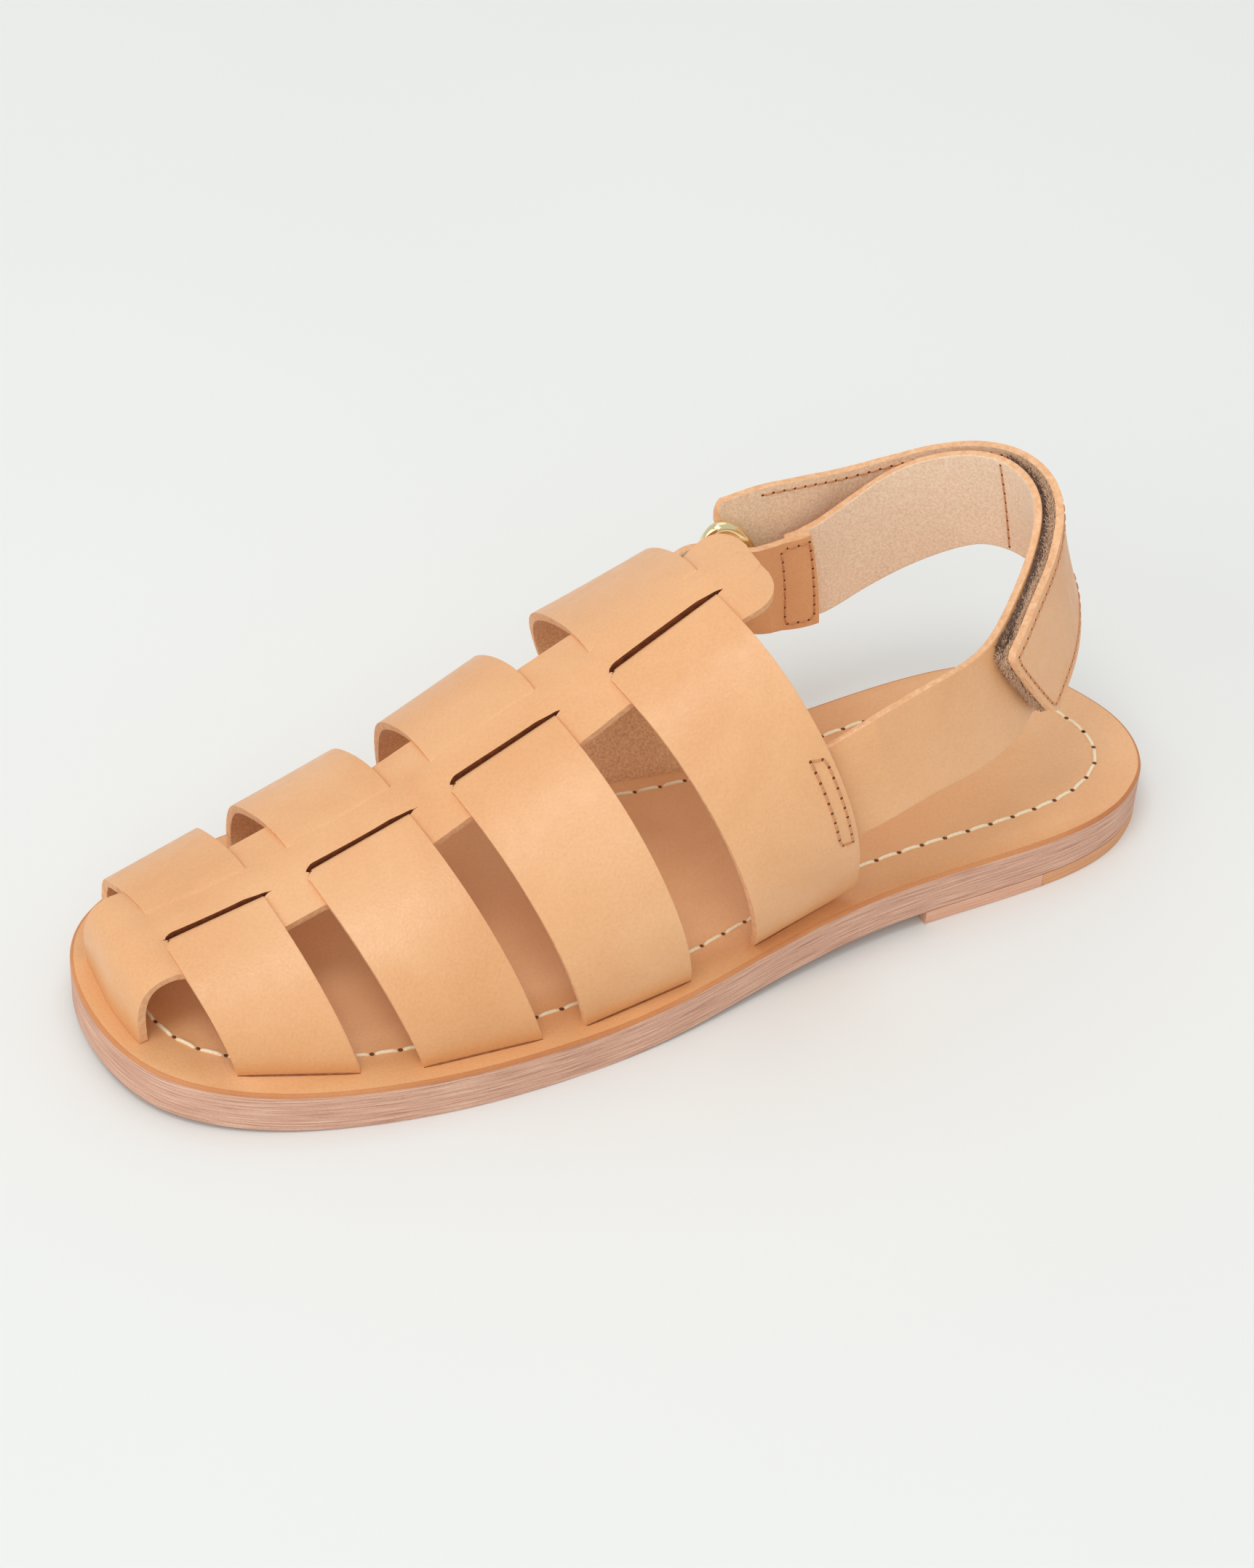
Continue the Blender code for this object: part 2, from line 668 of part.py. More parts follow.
cage = add_object("cage_upper", grid_mesh("cage_upper", spine_surface()), material("cage_leather", TAN, 0.5))
thicken(cage, LEATHER)
for number in range(4):
    strap = add_object("strap_%d" % (number + 1), grid_mesh("strap_%d" % (number + 1), cross_strap(number)),
                       cutter=True)
    thicken(strap, LEATHER)
    boolean(cage, strap, "UNION")


# Slots of the footbed

def slot(name, start, end, thick):
    """Slot cutter along a line on the footbed."""
    start = np.array(start)
    end = np.array(end)
    middle = (start + end) / 2
    length = float(np.linalg.norm((end - start)[:2])) + 2 * SEAT + 0.4
    shape = bmesh.new()
    bmesh.ops.create_cube(shape, size=1.0)
    for vert in shape.verts:
        vert.co.x *= length * MM
        vert.co.y *= thick * MM
        vert.co.z *= 4 * FOOTBED_THICK * MM
    mesh = bpy.data.meshes.new(name)
    shape.to_mesh(mesh)
    shape.free()
    made = add_object(name, mesh, cutter=True)
    made.location = Vector(middle) * MM
    made.rotation_euler = (0, 0, math.atan2(end[1] - start[1], end[0] - start[0]))
    boolean(footbed, made, "DIFFERENCE")


for number in range(4):
    surface = cross_strap(number)
    for label, row in (("lateral", 0), ("medial", -1)):
        slot("slot_%d_%s" % (number + 1, label), surface[row, 0], surface[row, -1], LEATHER + 2 * SEAT)
toe_foot = spine_surface()[0]
toe_depth = float(np.ptp(toe_foot[:, 0]))
toe_middle = float(toe_foot[:, 0].min()) + toe_depth / 2
slot("slot_toe", (toe_middle, toe_foot[0, 1], toe_foot[0, 2]), (toe_middle, toe_foot[-1, 1], toe_foot[0, 2]),
     LEATHER + toe_depth + 2 * SEAT)

# Heel strap pieces

strap_look = material("strap_leather", TAN, 0.5)
seat_lift = -(LEATHER + SEAT + TUCK + STRAP_LEATHER / 2)
sling_seat = [seat_row(3, share, 1, SLING_SEAT, seat_lift, SLING_FLARE) for share in (0.5, 0.75, 1.0)]
sling_share = np.linspace(0.03, SLING_END_SHARE, 32)
sling_half = np.interp(sling_share, [SPLICE_SHARE, SLING_END_SHARE], [STRAP_HALF, FOLD_HALF])
sling = strap_rows(sling_share, level(0), level(0), sling_half)
ribbon("sling_strap", sling_seat + list(sling), strap_look, STRAP_LEATHER)
ribbon("closure_strap", closure_rows(), material("closure_leather", TAN, 0.5), STRAP_LEATHER)
ribbon("ring_tab", tab_rows(), material("tab_leather", TAN, 0.5), STRAP_LEATHER)

tape_share = slanted(TAPE_END_SHARE, CLOSURE[0, 0] + 0.002, 18)
loop_gap = STRAP_LEATHER / 2 + SEAT + TAPE_THICK / 2
hook_gap = loop_gap + TAPE_THICK + SEAT
ribbon("loop_tape", strap_rows(tape_share, level(loop_gap), level(0), STRAP_HALF - 2.5),
       material("loop_fabric", LOOP_BROWN, 0.95), TAPE_THICK)
ribbon("hook_tape", strap_rows(tape_share, level(hook_gap), closure_rise, STRAP_HALF - 1.0),
       material("hook_fabric", HOOK_BROWN, 0.95), TAPE_THICK)

# Oval ring of round wire

ring_curve = bpy.data.curves.new("ring", "CURVE")
ring_curve.dimensions = "3D"
ring_curve.bevel_depth = RING_WIRE * MM
ring_curve.bevel_resolution = 2
ring_curve.use_fill_caps = True
wire = ring_curve.splines.new("POLY")
oval = []
for angle in np.radians(np.arange(0, 360, 15)):
    tall = RING_HALF_TALL * math.sin(angle)
    oval.append((RING_HALF_GAP * math.cos(angle) + RING_LEAN * tall, tall))
wire.points.add(len(oval) - 1)
for spot, (x, z) in zip(wire.points, oval):
    spot.co = (x * MM, 0, z * MM, 1)
wire.use_cyclic_u = True
ring = bpy.data.objects.new("ring", ring_curve)
ring_curve.materials.append(material("ring_gold", GOLD, 0.15, 1.0))
PARTS.objects.link(ring)
ring.parent = ORIGIN
ring.location = Vector((ring_bar(-1) + ring_bar(1)) / 2) * MM
ring.rotation_euler = (0, 0, RING_TURN)

# Origin at the middle of the box, on the floor

bpy.context.view_layer.update()
corners = []
for item in PARTS.objects:
    if item.type in {"MESH", "CURVE"}:
        corners += [item.matrix_world @ Vector(corner) for corner in item.bound_box]
low_corner = Vector([min(c[k] for c in corners) for k in range(3)])
high_corner = Vector([max(c[k] for c in corners) for k in range(3)])
ORIGIN.location = (-(low_corner.x + high_corner.x) / 2, -(low_corner.y + high_corner.y) / 2, -low_corner.z)
for cutter in CUTTERS.objects:
    cutter.parent = ORIGIN
bpy.context.view_layer.update()
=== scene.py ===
"""Looks of the caged leather sandal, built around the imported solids.

Lengths are in millimetres along the shoe: stations run from the heel end (0) to the toe end,
+Y is the outer (lateral) side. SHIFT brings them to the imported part's frame.
"""
import math

import bmesh
import bpy
import numpy as np
from mathutils import Matrix, Vector


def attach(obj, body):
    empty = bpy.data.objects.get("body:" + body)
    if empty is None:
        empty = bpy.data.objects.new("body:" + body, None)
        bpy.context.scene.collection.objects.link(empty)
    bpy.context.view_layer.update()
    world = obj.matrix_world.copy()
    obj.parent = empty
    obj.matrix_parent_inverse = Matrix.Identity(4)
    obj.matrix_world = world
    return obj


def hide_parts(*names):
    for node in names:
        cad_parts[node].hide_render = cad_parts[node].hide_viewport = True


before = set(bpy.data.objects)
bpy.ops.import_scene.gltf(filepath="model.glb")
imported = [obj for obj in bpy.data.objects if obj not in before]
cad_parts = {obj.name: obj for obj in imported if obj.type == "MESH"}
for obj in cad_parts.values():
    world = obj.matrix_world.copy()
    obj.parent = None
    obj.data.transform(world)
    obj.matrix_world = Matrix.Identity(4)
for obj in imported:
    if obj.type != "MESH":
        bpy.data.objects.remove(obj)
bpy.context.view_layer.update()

MM = 0.001
SHIFT = np.array([-126.0, 1.444, 0.0])
UP = np.array([0, 0, 1.0])

# Sole sizes
SOLE_LENGTH = 252.0
SOLE_THICK = 10.0
OUTSOLE_THICK = 3.3
FOOTBED_THICK = 3.3
HEEL_HEIGHT = 3.5
HEEL_FLAT_END = 75.0
TREAD_START = 160.0
TREAD_END = 200.0
TOE_SPRING = 2.2
HEEL_BREAST = 70.0
HEEL_SEAM = 39.0
SEAT = 0.3

# Leather and weave sizes
LEATHER = 2.0
HIGH = -1.0
LOW = -2.7
BAND_FREE = -1.35
MARGIN_FREE = -1.75
SPINE_HALF = 14.0
SLIT_OFFSET = 4.6
SLIT_HALF = {1: 0.85, -1: 0.24}
SLIT_PAST = (-0.6, 1.2)
SLIT_TAPER = (1.6, 5.0)
WEAVE_RAMP = 5.0
TONGUE_ROUND = 9.0
TONGUE_CURL = 3.2
STRAP_INSERT = 2.4
LEAN = 0.7
CORNER_ROUND = 5.0

# Heel strap sizes
STRAP_HALF = 13.0
STRAP_LEATHER = 1.8
SLING_SEAT = 47.2
SLING_FLARE = 14.4
TUCK = 0.6
TAPE_THICK = 1.0
RING_WIRE = 1.5
RING_HALF_GAP = 6.6
RING_HALF_TALL = 15.2
RING_TURN = math.radians(-10.0)
RING_AHEAD = np.array([math.cos(RING_TURN), math.sin(RING_TURN), 0])
RING_OUT = np.array([math.sin(RING_TURN), -math.cos(RING_TURN), 0])
RING_HEIGHT = 47.5
RING_LEAN = 0.21
TAB_SEAT = 42.6
TAB_SLOPE = 4.5
TAB_MIDDLE = 46.0
TAB_HALF = 11.5
TAB_FOLD_HALF = 10.2
TAB_GAP = 3.4
FOLD_REACH = 5.4
FOLD_HALF = 11.8
FOLD_GAP = 3.9
FOLD_LEAN = 0.38
FOLD_SQUARE = 0.7
FOLD_SHARE = 0.995
FOLD_CLIMB = 84.0
FOLD_STEP = 12
SPLICE_GAP = 2.2
TAIL_SLANT = 0.055
TAIL_ROUND = 0.012
TAIL_CORNER = 0.75
SPLICE_SHARE = 0.907
SPLICE_SLANT = 0.015
SLING_END_SHARE = 0.962
TAPE_END_SHARE = 0.608
UPRIGHT = (0.73, 0.87)

# Outline of the sole: station, lateral edge, medial edge
OUTLINE = np.array([
    (0, 2, 2),
    (2, 12.5, -9),
    (5, 18, -16.5),
    (10, 23, -24),
    (15, 26.5, -28),
    (30, 31.5, -32),
    (50, 33, -32),
    (80, 34, -29.5),
    (110, 38.5, -30),
    (140, 44.5, -38),
    (165, 46.5, -46),
    (185, 46, -46.5),
    (205, 43, -44.5),
    (225, 37, -39.5),
    (240, 28, -31.5),
    (248, 17.5, -22),
    (252, -3, -3),
], dtype=float)

# Cage sections, one row at each strap edge from the toe back. Crest: station, side, height.
# Each side: station and offset where the strap meets the footbed, roundness, bulge, height of the bulge.
# The inner side also sweeps forwards below the crest.
SECTION_COLUMNS = ("crest_x", "crest_y", "crest_z",
                   "lat_x", "lat_y", "lat_round", "lat_bulge", "lat_high",
                   "med_x", "med_y", "med_round", "med_bulge", "med_high", "med_sweep")
SECTIONS = np.array([
    (237.0, -1.0, 29.5, 230.5, 28.5, 2.20, 0.5, 0.75, 238.0, -30.5, 2.25, 1.0, 0.75, 1.5),
    (215.0, -1.0, 34.5, 207.0, 37.0, 2.10, 0.5, 0.75, 214.5, -37.0, 2.15, 1.5, 0.75, 1.5),
    (206.0, -1.0, 37.5, 194.5, 40.5, 2.10, 0.5, 0.75, 206.0, -39.5, 2.15, 1.5, 0.75, 1.5),
    (182.5, -1.5, 45.5, 168.5, 42.5, 2.10, 0.5, 0.75, 181.0, -42.5, 2.20, 2.5, 0.75, 1.5),
    (173.5, -2.0, 49.5, 158.5, 42.5, 2.25, 2.0, 0.80, 168.0, -41.5, 2.40, 3.0, 0.75, 1.5),
    (149.5, -2.0, 61.0, 132.5, 39.5, 2.50, 4.5, 0.80, 142.0, -35.5, 2.85, 11.0, 0.90, 2.5),
    (137.5, -2.5, 67.6, 115.5, 36.0, 2.90, 7.0, 0.80, 122.5, -28.0, 2.75, 23.0, 1.05, 1.5),
    (112.5, -3.0, 81.2, 88.0, 30.5, 3.50, 10.0, 0.95, 95.5, -23.5, 2.70, 26.0, 1.10, 1.0),
])
COL = {name: k for k, name in enumerate(SECTION_COLUMNS)}

# Front of the toe and end of the tongue, on the centre line
TOE_STATION = 247.5
TOE_SQUARE = 2.6
TOE_BULGE = 1.2
TOE_SIDE_BULGE = 2.0
TOE_FORWARD = {"lat_x": 7.0, "med_x": 0.5}
TONGUE_STATION = 100.5
TONGUE_HEIGHT = 84.0

# Middle line of the heel strap, outer side to the ring: station, side, height, lean inwards (degrees)
HEEL_LOOP = np.array([
    (93.5, 36.6, 51.2, 10),
    (74.5, 33.5, 54.5, 12),
    (56.5, 27.5, 55.0, 16),
    (42.0, 17.0, 58.5, 19),
    (30.0, 3.5, 63.0, 18),
    (26.0, -7.5, 68.0, 16),
    (28.0, -17.5, 69.5, 11),
    (35.5, -27.5, 66.0, 9),
    (45.5, -35.0, 57.5, 6),
    (55.5, -37.5, 51.0, 2),
    (65.5, -38.0, 47.0, 0),
    (77.6, -40.2, 46.6, 0),
])

# Closure strap outside the loop: share of the loop, gap to the loop line, rise along the strap's width
CLOSURE = np.array([
    (0.253, 4.8, -3.0),
    (0.334, 4.8, -1.0),
    (0.456, 4.8, -1.0),
    (0.537, 4.8, -0.5),
    (0.608, 4.8, -1.0),
    (0.689, 4.8, -1.0),
    (0.780, 4.8, 1.5),
    (0.856, 5.5, 5.3),
    (0.922, 4.8, 10.0),
    (0.960, 4.3, 10.8),
    (0.995, 3.9, 9.4),
])


# Curves and lines

def spline(knots, values, at):
    """Natural cubic spline of one or more columns."""
    knots = np.asarray(knots, float)
    values = np.asarray(values, float)
    flat = values.ndim == 1
    if flat:
        values = values[:, None]
    n = len(knots)
    step = np.diff(knots)
    inner = np.arange(1, n - 1)
    system = np.eye(n)
    system[inner, inner - 1] = step[:-1]
    system[inner, inner] = 2 * (step[:-1] + step[1:])
    system[inner, inner + 1] = step[1:]
    right = np.zeros_like(values)
    right[1:-1] = 6 * np.diff(np.diff(values, axis=0) / step[:, None], axis=0)
    bend = np.linalg.solve(system, right)
    at = np.atleast_1d(np.asarray(at, float))
    k = np.clip(np.searchsorted(knots, at) - 1, 0, n - 2)
    h = step[k][:, None]
    a = (knots[k + 1] - at)[:, None] / h
    b = (at - knots[k])[:, None] / h
    out = a * values[k] + b * values[k + 1]
    out += ((a ** 3 - a) * bend[k] + (b ** 3 - b) * bend[k + 1]) * h * h / 6
    return out[:, 0] if flat else out


def unit(vectors):
    """Unit vectors along the last axis."""
    return vectors / np.maximum(np.linalg.norm(vectors, axis=-1, keepdims=True), 1e-9)


def smooth(value):
    """Soft step from 0 to 1."""
    value = np.clip(value, 0, 1)
    return value * value * (3 - 2 * value)


def run_length(points):
    """Length along a line of points."""
    return np.concatenate([[0], np.cumsum(np.linalg.norm(np.diff(points, axis=0), axis=1))])


def along(points, length, at):
    """Points at given lengths along a line."""
    return np.stack([np.interp(at, length, points[:, k]) for k in range(points.shape[1])], axis=1)


# Sole

def under_sole(x):
    """Height of the outsole's underside: heel seat, waist, flat tread and toe spring."""
    x = np.asarray(x, float)
    spring = np.clip((x - TREAD_END) / (SOLE_LENGTH - TREAD_END), 0, 1)
    return HEEL_HEIGHT * smooth((TREAD_START - x) / (TREAD_START - HEEL_FLAT_END)) + TOE_SPRING * spring ** 2


def footbed_top(x):
    """Height of the footbed's upper face."""
    return under_sole(x) + SOLE_THICK


def sole_edges(x):
    """Lateral and medial edge of the outline at a station."""
    turn = np.arccos(1 - 2 * OUTLINE[:, 0] / SOLE_LENGTH)
    at = np.arccos(np.clip(1 - 2 * np.asarray(x, float) / SOLE_LENGTH, -1, 1))
    return spline(turn, OUTLINE[:, 1:], at)


# Cage

def section(row, side, count=241):
    """Points of one cage section from its crest to the footbed on one side."""
    key = "lat" if side > 0 else "med"
    crest = row[:3]
    tails = ("_x", "_y", "_round", "_bulge", "_high")
    base_x, base_y, roundness, bulge, high = (row[COL[key + tail]] for tail in tails)
    turn = np.linspace(0, math.pi / 2, count)
    across = np.sin(turn) ** (2 / roundness)
    up = np.clip(np.cos(turn), 0, 1) ** (2 / roundness)
    base_z = float(footbed_top(base_x))
    x = crest[0] + (base_x - crest[0]) * (1 - up) ** LEAN
    y = crest[1] + (base_y - crest[1]) * across + side * bulge * np.sin(math.pi * up ** high)
    if side < 0:
        x = x + row[COL["med_sweep"]] * np.sin(math.pi * up ** 3)
    z = base_z + (crest[2] - base_z) * up
    return np.stack([x, y, z], axis=1)


def beside(row, side, offset):
    """Point of a section at a distance to one side of its crest."""
    line = section(row, side)
    reach = abs(line[:, 1] - row[COL["crest_y"]])
    top = int(np.argmax(reach))
    return np.array([np.interp(offset, reach[:top + 1], line[:top + 1, k]) for k in range(3)])


def outward(grid):
    """Normals of a grid of points, away from the foot."""
    normal = unit(np.cross(np.gradient(grid, axis=1), np.gradient(grid, axis=0)))
    centre = grid.reshape(-1, 3).mean(axis=0) * np.array([1.0, 0.3, 0.2])
    if np.sum(normal * (grid - centre)) < 0:
        normal = -normal
    return normal


WEAVE_REACH = 9.0
WEAVE_ROWS = 18
FAR = 99.0
STRAP_SIDE = np.linspace(0, 1, 40)
STRAP_SHARES = np.array([0, 0.03, 0.07, 0.12, 0.2, 0.3, 0.4, 0.5, 0.6, 0.7, 0.8, 0.88, 0.94, 0.98, 1.0])
STRAP_DIVE = {1: (4.1, 6.0), -1: (2.4, 4.75)}
CORNER_DIVE = 0.85
CORNER_SHARE = 0.07


def strap_line(row):
    """Points along a cross strap's edge, outer to inner foot, with side and distance from the crest."""
    halves = []
    marks = []
    for side in (1, -1):
        line = section(row, side)
        length = run_length(line)
        woven = np.linspace(0, WEAVE_REACH, WEAVE_ROWS, endpoint=False)
        spots = np.concatenate([woven, WEAVE_REACH + (length[-1] - WEAVE_REACH) * STRAP_SIDE])
        steps = along(line, length, spots)
        foot = steps[-1] - np.array([0, 0, STRAP_INSERT])
        halves.append(np.vstack([steps, foot]))
        marks.append(side * np.append(abs(steps[:, 1] - row[1]), FAR))
    line = np.vstack([halves[0][::-1], halves[1][1:]])
    return line, np.concatenate([marks[0][::-1], marks[1][1:]])


def strap_depth(mark, share):
    """How far a strap has come up from under the centre band: 0 below it, 1 level with it."""
    start, end = STRAP_DIVE[1 if mark > 0 else -1]
    corner = CORNER_DIVE * max(0, 1 - share / CORNER_SHARE) if mark > 0 else 0
    return float(smooth((abs(mark) - start - corner) / (end - start + corner)))


def round_corner(line):
    """Forward shift that rounds the lower rear corners of the last strap."""
    shift = np.zeros_like(line)
    for foot in (line[1], line[-2]):
        rows = line[:, 1] * foot[1] > 0
        rise = np.clip(line[rows, 2] - foot[2], 0, CORNER_ROUND)
        shift[rows, 0] = CORNER_ROUND - np.sqrt(CORNER_ROUND ** 2 - (CORNER_ROUND - rise) ** 2)
    return shift


def cross_strap(number):
    """Middle surface of a cross strap, its normals, and how far it has come up from under the band."""
    front, marks = strap_line(SECTIONS[2 * number])
    rear, _ = strap_line(SECTIONS[2 * number + 1])
    if number == 3:
        rear = rear + round_corner(rear)
    share = STRAP_SHARES[None, :, None]
    grid = front[:, None] * (1 - share) + rear[:, None] * share
    normal = outward(grid)
    depth = np.array([[strap_depth(mark, part) for part in STRAP_SHARES] for mark in marks])
    return grid + normal * (LOW + (HIGH - LOW) * depth)[..., None], normal, depth


def toe_row(turn):
    """Section row of the toe front, from the first strap (0) down to the footbed (1)."""
    row = SECTIONS[0].copy()
    angle = turn * math.pi / 2
    floor = float(footbed_top(TOE_STATION))
    forward = (TOE_STATION - row[COL["crest_x"]]) * math.sin(angle) ** (2 / TOE_SQUARE)
    row[COL["crest_x"]] += forward + TOE_BULGE * math.sin(2 * angle)
    row[COL["crest_z"]] = floor + (row[COL["crest_z"]] - floor) * math.cos(angle) ** (2 / TOE_SQUARE)
    for name, reach in TOE_FORWARD.items():
        row[COL[name]] += reach * turn + TOE_SIDE_BULGE * math.sin(2 * angle)
    return row


def tongue_row(share):
    """Section row behind the last strap, out to the tongue's end."""
    row = SECTIONS[-1].copy()
    shift = (TONGUE_STATION - row[COL["crest_x"]]) * share
    for name in ("crest_x", "lat_x", "med_x"):
        row[COL[name]] += shift
    row[COL["crest_z"]] += (TONGUE_HEIGHT - row[COL["crest_z"]]) * (1 - (1 - share) ** 2)
    return row


def spine_row(x):
    """Section row at a station of the crest between the first and the last strap edge."""
    return spline(SECTIONS[::-1, 0], SECTIONS[::-1], [x])[0]


def past_strap(x):
    """Distance along the crest past the edge of the nearest cross strap, negative under it."""
    return min(max(x - SECTIONS[2 * k, 0], SECTIONS[2 * k + 1, 0] - x) for k in range(4))


def slit_open(x):
    """How far the weave slits stand open at a station of the crest."""
    best = 0.0
    for k in range(4):
        front = (SECTIONS[2 * k, 0] + SLIT_PAST[0] - x) / SLIT_TAPER[0]
        rear = (x - SECTIONS[2 * k + 1, 0] + SLIT_PAST[1]) / SLIT_TAPER[1]
        best = max(best, min(front, rear, 1.0))
    return math.sqrt(best)


TOE_ROWS = 30
CREST_ROWS = 200
TONGUE_ROWS = 24
TOE_BLEND = 12.0


def spine_rows():
    """Section rows from the toe's foot to the tongue's end, with the share of the toe's level."""
    rows = [(toe_row(turn), 1.0) for turn in np.linspace(1, 0.04, TOE_ROWS)]
    first = SECTIONS[0, 0]
    for x in np.linspace(first, SECTIONS[-1, 0], CREST_ROWS)[:-1]:
        rows.append((spine_row(x), float(smooth((x - first + TOE_BLEND) / TOE_BLEND))))
    rows += [(tongue_row(share), 0.0) for share in 1 - (1 - np.linspace(0, 1, TONGUE_ROWS)) ** 1.6]
    return rows


MARGIN_STEPS = np.linspace(1, 0, 8)
CENTRE_STEPS = np.linspace(1, -1, 9)
# Columns of the spine after which its two slits lie
SLITS = (len(MARGIN_STEPS) - 1, len(MARGIN_STEPS) + len(CENTRE_STEPS) - 1)


def spine_surface():
    """Middle surface of the toe piece and its tongue: outer margin, centre band and inner margin."""
    bands = [[], [], []]
    lifts = [[], [], []]
    for row, toe in spine_rows():
        to_end = row[0] - TONGUE_STATION
        half = SPINE_HALF
        if to_end < TONGUE_ROUND:
            half += math.sqrt(max(TONGUE_ROUND ** 2 - (TONGUE_ROUND - to_end) ** 2, 0.01)) - TONGUE_ROUND
        scale = half / SPINE_HALF
        past = past_strap(row[0])
        gap = slit_open(row[0])
        outer = SLIT_OFFSET + SLIT_HALF[1] * gap
        inner = SLIT_OFFSET + SLIT_HALF[-1] * gap
        edges = (SLIT_OFFSET - SLIT_HALF[1] * gap, SLIT_OFFSET - SLIT_HALF[-1] * gap)
        lateral = (outer + (SPINE_HALF - outer) * MARGIN_STEPS) * scale
        medial = (inner + (SPINE_HALF - inner) * MARGIN_STEPS[::-1]) * scale
        centre = np.where(CENTRE_STEPS > 0, edges[0], edges[1]) * CENTRE_STEPS * scale
        bands[0].append([beside(row, 1, mark) for mark in lateral])
        bands[1].append([beside(row, 1 if mark >= 0 else -1, abs(mark)) for mark in centre])
        bands[2].append([beside(row, -1, mark) for mark in medial])
        ahead = min(to_end / (SECTIONS[-1, 0] - TONGUE_STATION), 1)
        curl = TONGUE_CURL * (1 - ahead ** 2)
        for band in bands[1:]:
            for spot in band[-1]:
                spot[2] += curl * (max(row[1] - spot[1], 0) / SPINE_HALF) ** 2
        free = MARGIN_FREE + (HIGH - MARGIN_FREE) * toe
        margin = free + (LOW - free) * smooth((0.8 - past) / 3.0)
        band_free = BAND_FREE + (HIGH - BAND_FREE) * toe
        middle = band_free + (HIGH - band_free) * smooth(1 - past / WEAVE_RAMP)
        joined = (margin + middle) / 2
        closed = 1 - gap
        for part, marks in ((0, lateral), (2, medial)):
            lifts[part].append(margin + (joined - margin) * closed * smooth(1 - (marks - SLIT_OFFSET) / 5))
        lifts[1].append(middle + (joined - middle) * closed * smooth((abs(centre) - 1) / 3.6))
    whole = np.concatenate([np.array(band) for band in bands], axis=1)
    normal = outward(np.delete(whole, [SLITS[0] + 1, SLITS[1]], axis=1))
    for slit in SLITS:
        normal = np.insert(normal, slit, normal[:, slit], axis=1)
    lift = np.concatenate([np.array(band) for band in lifts], axis=1)
    return whole + normal * lift[..., None]


# Heel strap

def loop_line(share):
    """Points of the heel strap's middle line with the lean at each."""
    knots = run_length(HEEL_LOOP[:, :3])
    return spline(knots / knots[-1], HEEL_LOOP, share)


def loop_frame(share):
    """Middle point, outward, upward and forward direction along the heel strap."""
    step = 1e-3
    share = np.asarray(share, float)
    forward = unit((loop_line(share + step) - loop_line(share - step))[:, :3])
    out = unit(np.stack([forward[:, 1], -forward[:, 0], 0 * share], axis=1))
    rise = np.cross(forward, out)
    rise = rise * np.sign(rise[:, 2:3])
    line = loop_line(share)
    lean = np.radians(line[:, 3:4])
    up = rise * np.cos(lean) - out * np.sin(lean)
    face = out * np.cos(lean) + rise * np.sin(lean)
    return line[:, :3], face, up, forward


# Places across a strap from its upper to its lower edge, closer together at the edges
EVEN = np.linspace(1, -1, 15)
ACROSS = np.sign(EVEN) * (1 - (1 - np.abs(EVEN)) ** 1.4)
INNER_ROWS = 22
OUTER_ROWS = 110
TAB_ROWS = 90
NEVER_UPRIGHT = (2.0, 3.0)


def strap_rows(share, gap, rise, half, upright=NEVER_UPRIGHT):
    """Rows of a strap laid beside the heel loop, turned upright between two shares of it."""
    share = np.broadcast_to(np.reshape(share, (len(share), -1)), (len(share), len(ACROSS)))
    columns = []
    for k, across in enumerate(ACROSS):
        middle, face, up, _ = loop_frame(share[:, k])
        stand = np.interp(share[:, k], upright, (0, 1))[:, None]
        up = unit(up * (1 - stand) + UP * stand)
        wide = np.broadcast_to(half, len(share))[:, None] * across
        columns.append(middle + face * gap(share[:, k])[:, None] + up * (rise(share[:, k])[:, None] + wide))
    return np.stack(columns, axis=1)


def level(value):
    """Constant gap or rise along a strap."""
    return lambda share: np.full(len(share), float(value))


def closure_gap(share):
    """Gap of the closure strap to the loop line."""
    return spline(CLOSURE[:, 0], CLOSURE[:, 1], share)


def closure_rise(share):
    """Rise of the closure strap over the loop line."""
    return spline(CLOSURE[:, 0], CLOSURE[:, 2], share)


def slanted(start, end, count):
    """Shares of rows that turn from straight across to the slant of the tail's end."""
    corner = np.clip((np.abs(ACROSS) - TAIL_CORNER) / (1 - TAIL_CORNER), 0, 1)
    ends = end + TAIL_SLANT * (1 - ACROSS) / 2 + TAIL_ROUND * (1 - np.sqrt(1 - corner ** 2))
    part = np.linspace(0, 1, count)[:, None]
    return start + (ends[None, :] - start) * part


def seat_row(share, side, height, lift, half):
    """Row of a strap that lies against the inside of the last cross strap."""
    front = section(SECTIONS[-2], side)
    rear = section(SECTIONS[-1], side)
    line = front * (1 - share) + rear * share
    length = run_length(line)
    middle = float(np.interp(-height, -line[:, 2], length))
    spots = along(line, length, middle - ACROSS * half)
    tangent = unit(np.gradient(spots, axis=0))
    normal = unit(np.cross(tangent, unit((rear - front).mean(axis=0))))
    normal *= np.sign(normal[:, 1:2]) * side
    return spots + normal * lift


def leaned(rows, lean):
    """Rows that lean forwards with the ring, by a share of their height over its middle."""
    lean = np.broadcast_to(lean, len(rows))[:, None, None]
    return rows + RING_AHEAD * lean * (rows[:, :, 2:] - RING_HEIGHT)


def inner_gap(share):
    """Gap of the closure strap's inner run to the loop line."""
    return np.interp(share, [SLING_END_SHARE, FOLD_SHARE], [-SPLICE_GAP, -FOLD_GAP])


